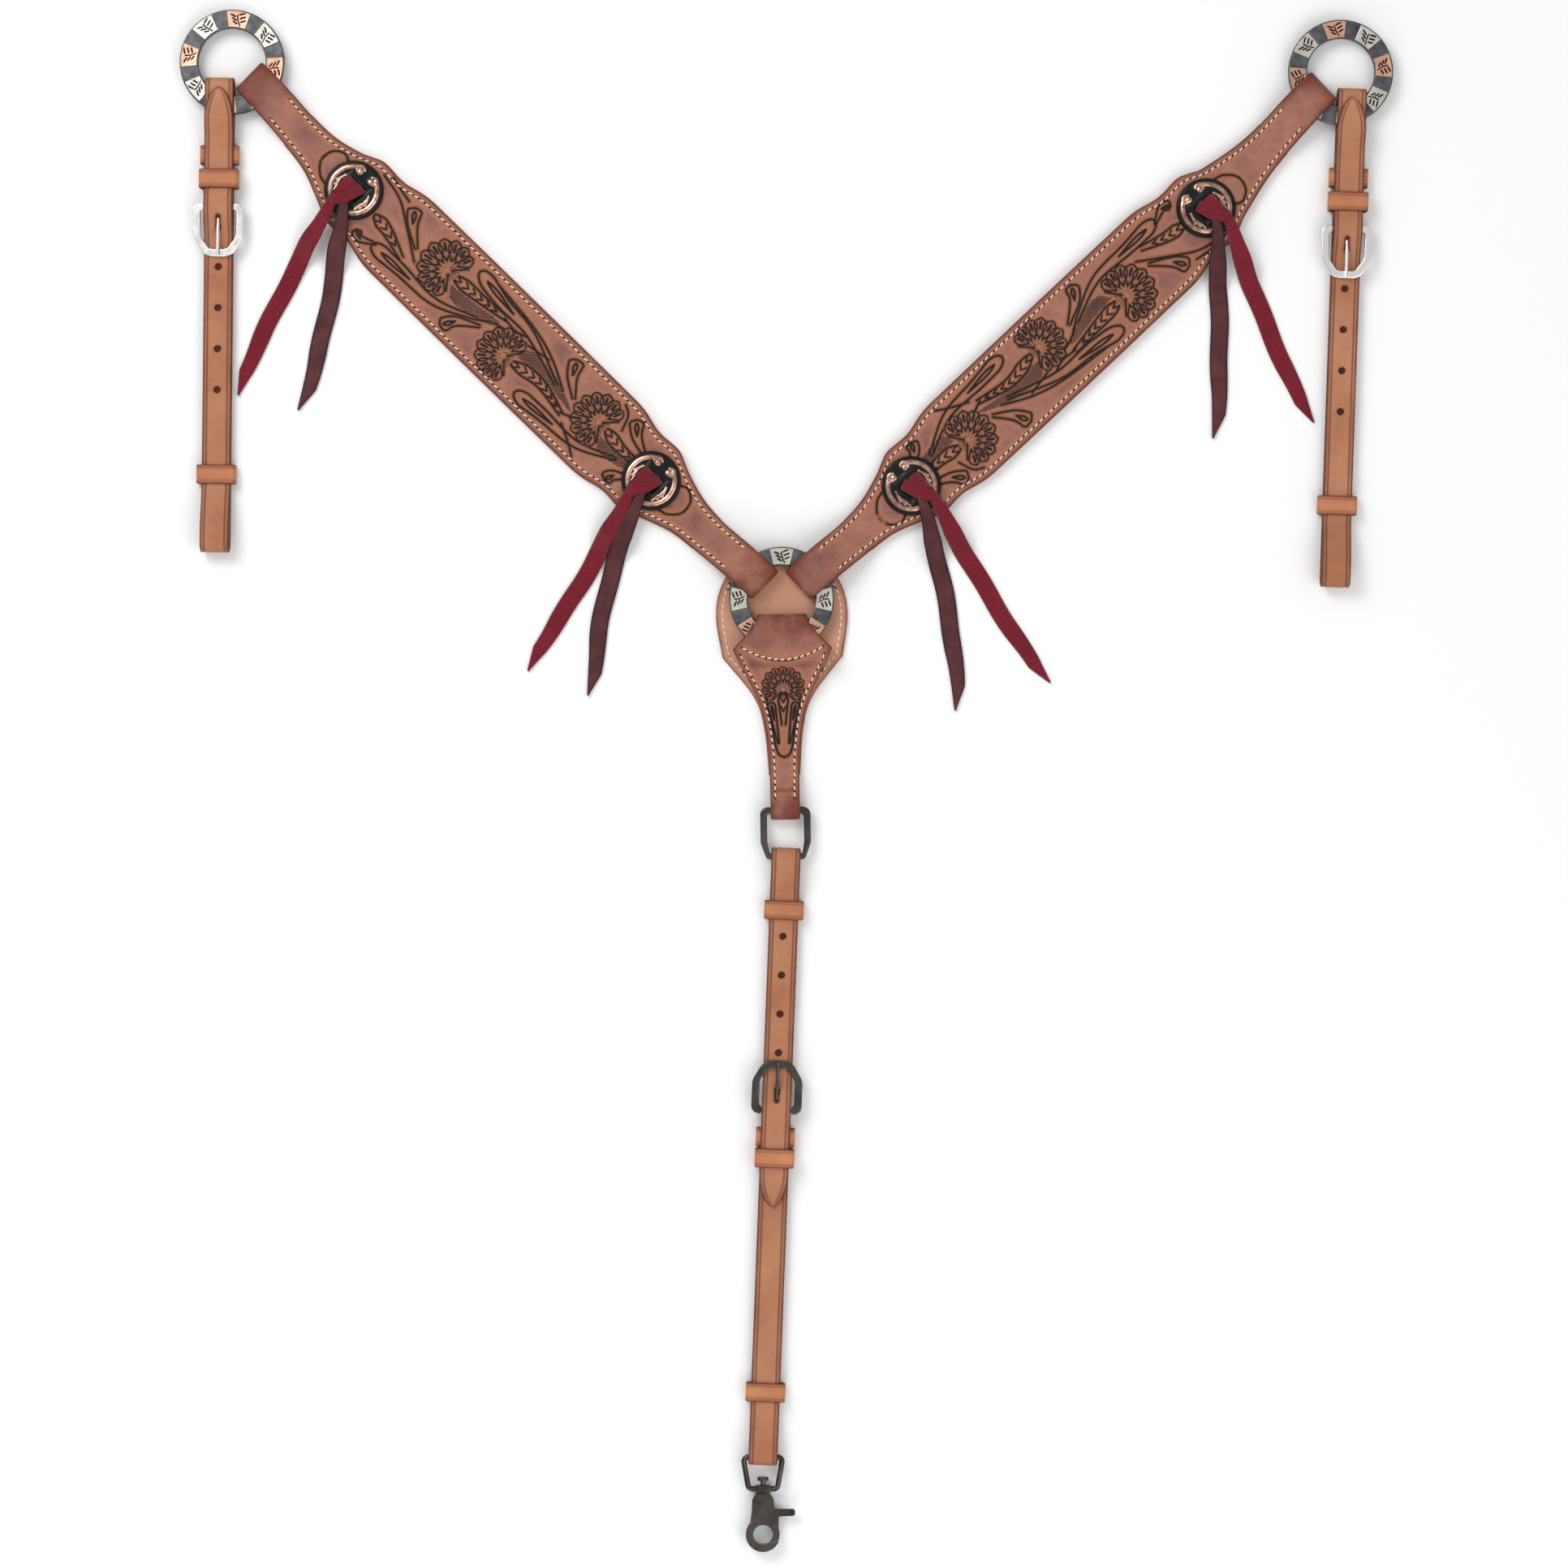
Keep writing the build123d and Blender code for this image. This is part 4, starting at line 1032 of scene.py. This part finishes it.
def add_strap(name, node, place, body, folds, radii, buckle, pitch):
    """A strap folded back through its own buckle: creased edges, holes shown as dips with painted shade, and a
    pointed tip.
    """
    line = rounded(folds, radii)
    billet = np.arange(len(line)) > np.argmax(line[:, 0])
    holes = [buckle + FIRST_HOLE + k * pitch for k in range(FREE_HOLES + 1)]
    near = np.min([np.abs(line[:, 0] - hole) for hole in holes], axis=0) < 7
    line = thinned(line, np.where(billet & near, 0.45, np.where(bends(line), 0.9, 3.0)))
    billet = np.arange(len(line)) > np.argmax(line[:, 0])
    along = np.concatenate([[0], np.cumsum(np.linalg.norm(np.diff(line, axis=0), axis=1))])
    left = np.clip((along[-1] - along) / TIP_LENGTH, 0, 1)
    half = STRAP_HALF * np.maximum(np.sqrt(left * (1.55 - 0.55 * left)), 0.1)

    def work(x, y, low, high):
        relief = Relief(np.where(billet[:, None], x, -1e3), y)
        # Painted shade: the holes and the tongue's slot are shallow dips coloured fully dark, standing in for the
        # shade inside them.
        for k, hole in enumerate(holes):
            if k:
                relief.hole_dip_with_painted_shade(hole, 0, 2.0, 2.2)
            else:
                relief.carve([(hole - 5.5, 0), (hole + 1, 0)], 1.9, 1.9, 1.0, 0)
        rim = np.minimum(y - low, high - y)
        crease = np.exp(-((rim - CREASE_INSET) / 0.45) ** 2) * (high - low > 9)
        soft = np.exp(-((rim - CREASE_INSET) / 1.2) ** 2)
        height = np.minimum(relief.height, -0.4 * crease)
        return height, np.maximum(relief.dark, 0.46 * crease + 0.1 * soft), {}

    points, faces, fields = strip(line, -half, half, STRAP_LEATHER, -1, ACROSS, work)
    add_piece(name, points, faces, place, body, "strap_leather", STRAP, [node], fields)


def add_keeper(node, place, body, top, wall=1.6):
    """A leather band round the strap's layers, with two crease lines."""
    x, y = from_row(box_middle(node), *place)
    half_y, low_z, high_z = 11.2 + 0.95, wall / 2, top + 0.25 + wall / 2
    corners = [(0, low_z), (half_y, low_z), (half_y, high_z), (-half_y, high_z), (-half_y, low_z),
               (0, low_z)]
    loop = rounded(corners, [1.7] * 4, 0.7)[:-1]

    def work(a, b, low, high):
        crease = np.exp(-((np.minimum(b - low, high - b) - 2.3) / 0.4) ** 2)
        return -0.25 * crease, 0.42 * crease, {}

    half = np.full(len(loop), 6.2)
    across = np.array([0, 0.05, 0.1, 0.13, 0.17, 0.22, 0.35, 0.5, 0.65, 0.78, 0.83, 0.87, 0.9, 0.95, 1])
    points, faces, fields = strip(loop, -half, half, wall, -1, across, work, closed=True)
    points = points[:, [1, 0, 2]] + (x, y, 0)
    add_piece(f"{node}_band", points, faces, place, body, "strap_leather", KEEPER, [node], fields)


def add_tugs():
    for side in ("left", "right"):
        ring, pin = joint_at(f"{side}_ring_spin"), joint_at(f"{side}_tug_tongue_lift")
        axis = JOINTS[f"{side}_tug_tongue_lift"]["axis"]
        angle = math.degrees(math.atan2(-axis[1], -axis[0])) - 90
        buckle, aside = from_row(pin, ring, angle)
        middle = to_row([(0, aside, 0)], ring, angle)[0]
        place = (middle, angle)
        loop = next(m for m in frame["record"]["mounts"] if m["name"] == f"{side}_tug_loop")
        end = from_row(np.array(loop["pos_m"]) / MM, *place)[0] + 7
        over_ring = ring[2] + RING_THICK / 2 + PANEL_THICK + 0.4 + STRAP_LEATHER / 2
        on_top = over_ring + STRAP_LEATHER + LAYER_GAP
        folds = [
            (buckle - 2.6, UNDER_Z), (46, UNDER_Z), (37, over_ring), (11.3, over_ring),
            (11.3, BACK_Z), (end, BACK_Z), (end, 14.05), (end - 16, 14.05), (end - 42, UNDER_Z),
            *reversed(hump(buckle)), (48, TOP_Z), (38, on_top), (17.0, on_top),
        ]
        radii = [6, 6, 4, 4, 5.4, 5.4, 15, 15, 8, 5, 3, 5, 6, 6]
        body = f"{side}_tug"
        add_strap(f"{side}_tug_leather", f"{side}_tug_strap", place, body, folds, radii, buckle, 26.8)
        add_keeper(f"{side}_tug_upper_keeper", place, f"{side}_tug_upper_keeper", THREE_LAYERS)
        add_keeper(f"{side}_tug_fixed_keeper", place, body, TWO_LAYERS, 1.2)
        add_keeper(f"{side}_tug_lower_keeper", place, f"{side}_tug_lower_keeper", TWO_LAYERS)


def add_tie_down():
    bar, link_end = joint_at("snap_bow_fold"), joint_at("tie_down_fold")
    place, end = (bar, heading(bar, link_end)), float(np.linalg.norm((link_end - bar)[:2]))
    buckle = from_row(joint_at("tie_down_tongue_lift"), *place)[0]
    bow_reach = BOW_R + BAR_PLAY + STRAP_LEATHER / 2
    link_reach = LINK_HALF_BAR + BAR_PLAY + STRAP_LEATHER / 2
    over_bow, over_link, tip_z = DIP_Z + 2 * bow_reach, DIP_Z + 2 * link_reach, UNDER_Z + 2.6
    folds = [
        (buckle - 2.6, UNDER_Z), (24, UNDER_Z), (6, over_bow), (-bow_reach, over_bow),
        (-bow_reach, DIP_Z), (14, DIP_Z), (28, BACK_Z), (end - 30, BACK_Z), (end - 16, DIP_Z),
        (end + link_reach, DIP_Z), (end + link_reach, over_link), (end - 6, over_link),
        (end - 24, UNDER_Z), *reversed(hump(buckle)), (192, TOP_Z), (178, tip_z), (163.8, tip_z),
    ]
    radii = [12, 8, 3.9, 3.9, 12, 12, 12, 12, 4.3, 4.3, 8, 12, 8, 5, 3, 5, 10, 10]
    add_strap("tie_down_leather", "tie_down_strap", place, "tie_down", folds, radii, buckle, 25.4)
    add_keeper("tie_down_fixed_keeper", place, "tie_down", TWO_LAYERS, 1.2)
    add_keeper("tie_down_middle_keeper", place, "tie_down_middle_keeper", THREE_LAYERS)
    add_keeper("tie_down_upper_keeper", place, "tie_down_upper_keeper", TWO_LAYERS)
    add_keeper("tie_down_lower_keeper", place, "tie_down_lower_keeper", TWO_LAYERS)


# ---- CAD metal ----


def finish_metal():
    """The CAD's own metal parts stay, with a plated finish."""
    for name, node in NODES.items():
        if node.hide_render:
            continue
        if name.endswith("_ring"):
            material = RING_METAL
        elif "_tug_buckle" in name:
            material = NICKEL
        else:
            material = GUNMETAL
        node.data.materials.clear()
        node.data.materials.append(material)


# ---- the scene ----


def add_light(name, size, energy, place, target=(0, 0, 0)):
    data = bpy.data.lights.new(name, "AREA")
    data.shape, data.size, data.energy = "SQUARE", size, energy
    light = bpy.data.objects.new(name, data)
    light.location = place
    way = np.array(target) - np.array(place)
    level = math.hypot(way[0], way[1])
    light.rotation_euler = (math.atan2(level, -way[2]), 0, math.atan2(way[1], way[0]) - math.pi / 2)
    bpy.context.scene.collection.objects.link(light)


def set_stage():
    floor_mesh = bpy.data.meshes.new("floor")
    reach, level = 6.0, -0.0004
    corners = [(x * reach, y * reach, level) for x, y in ((-1, -1), (1, -1), (1, 1), (-1, 1))]
    floor_mesh.from_pydata(corners, [], [(0, 1, 2, 3)])
    floor = bpy.data.objects.new("floor", floor_mesh)
    bpy.context.scene.collection.objects.link(floor)
    finish = Shader("floor_finish", Base_Color=(0.93, 0.93, 0.93, 1), Roughness=0.9)
    floor_mesh.materials.append(finish.material)
    world = bpy.data.worlds.new("studio")
    bpy.context.scene.world = world
    world.use_nodes = True
    nodes, links = world.node_tree.nodes, world.node_tree.links
    sky, split, fade = [nodes.new(kind) for kind in (
        "ShaderNodeTexCoord", "ShaderNodeSeparateXYZ", "ShaderNodeMapRange")]
    links.new(sky.outputs["Generated"], split.inputs[0])
    links.new(split.outputs["Z"], fade.inputs["Value"])
    fade.inputs["To Min"].default_value, fade.inputs["To Max"].default_value = 0.45, 1.0
    links.new(fade.outputs["Result"], nodes["Background"].inputs["Color"])
    nodes["Background"].inputs["Strength"].default_value = 0.66
    add_light("key", 1.3, 30, (-1.2, 1.4, 1.9))
    add_light("fill", 2.2, 26, (1.4, -1.2, 2.2))
    add_light("low", 1.0, 9, (-0.6, -1.9, 1.1))
    bpy.context.scene.view_settings.view_transform = "Standard"
    camera_data = bpy.data.cameras.new("camera")
    camera_data.sensor_width, camera_data.clip_end = 36.0, 50.0
    distance, view_width = 3.2, 1.026
    camera_data.lens = camera_data.sensor_width * distance / view_width
    camera = bpy.data.objects.new("camera", camera_data)
    camera.location = (-0.0016, -0.0021, distance)
    bpy.context.scene.collection.objects.link(camera)
    bpy.context.scene.camera = camera


set_stage()
add_arm("left", 1)
add_arm("right", -1)
add_centre()
add_rings()
add_tugs()
add_tie_down()
finish_metal()
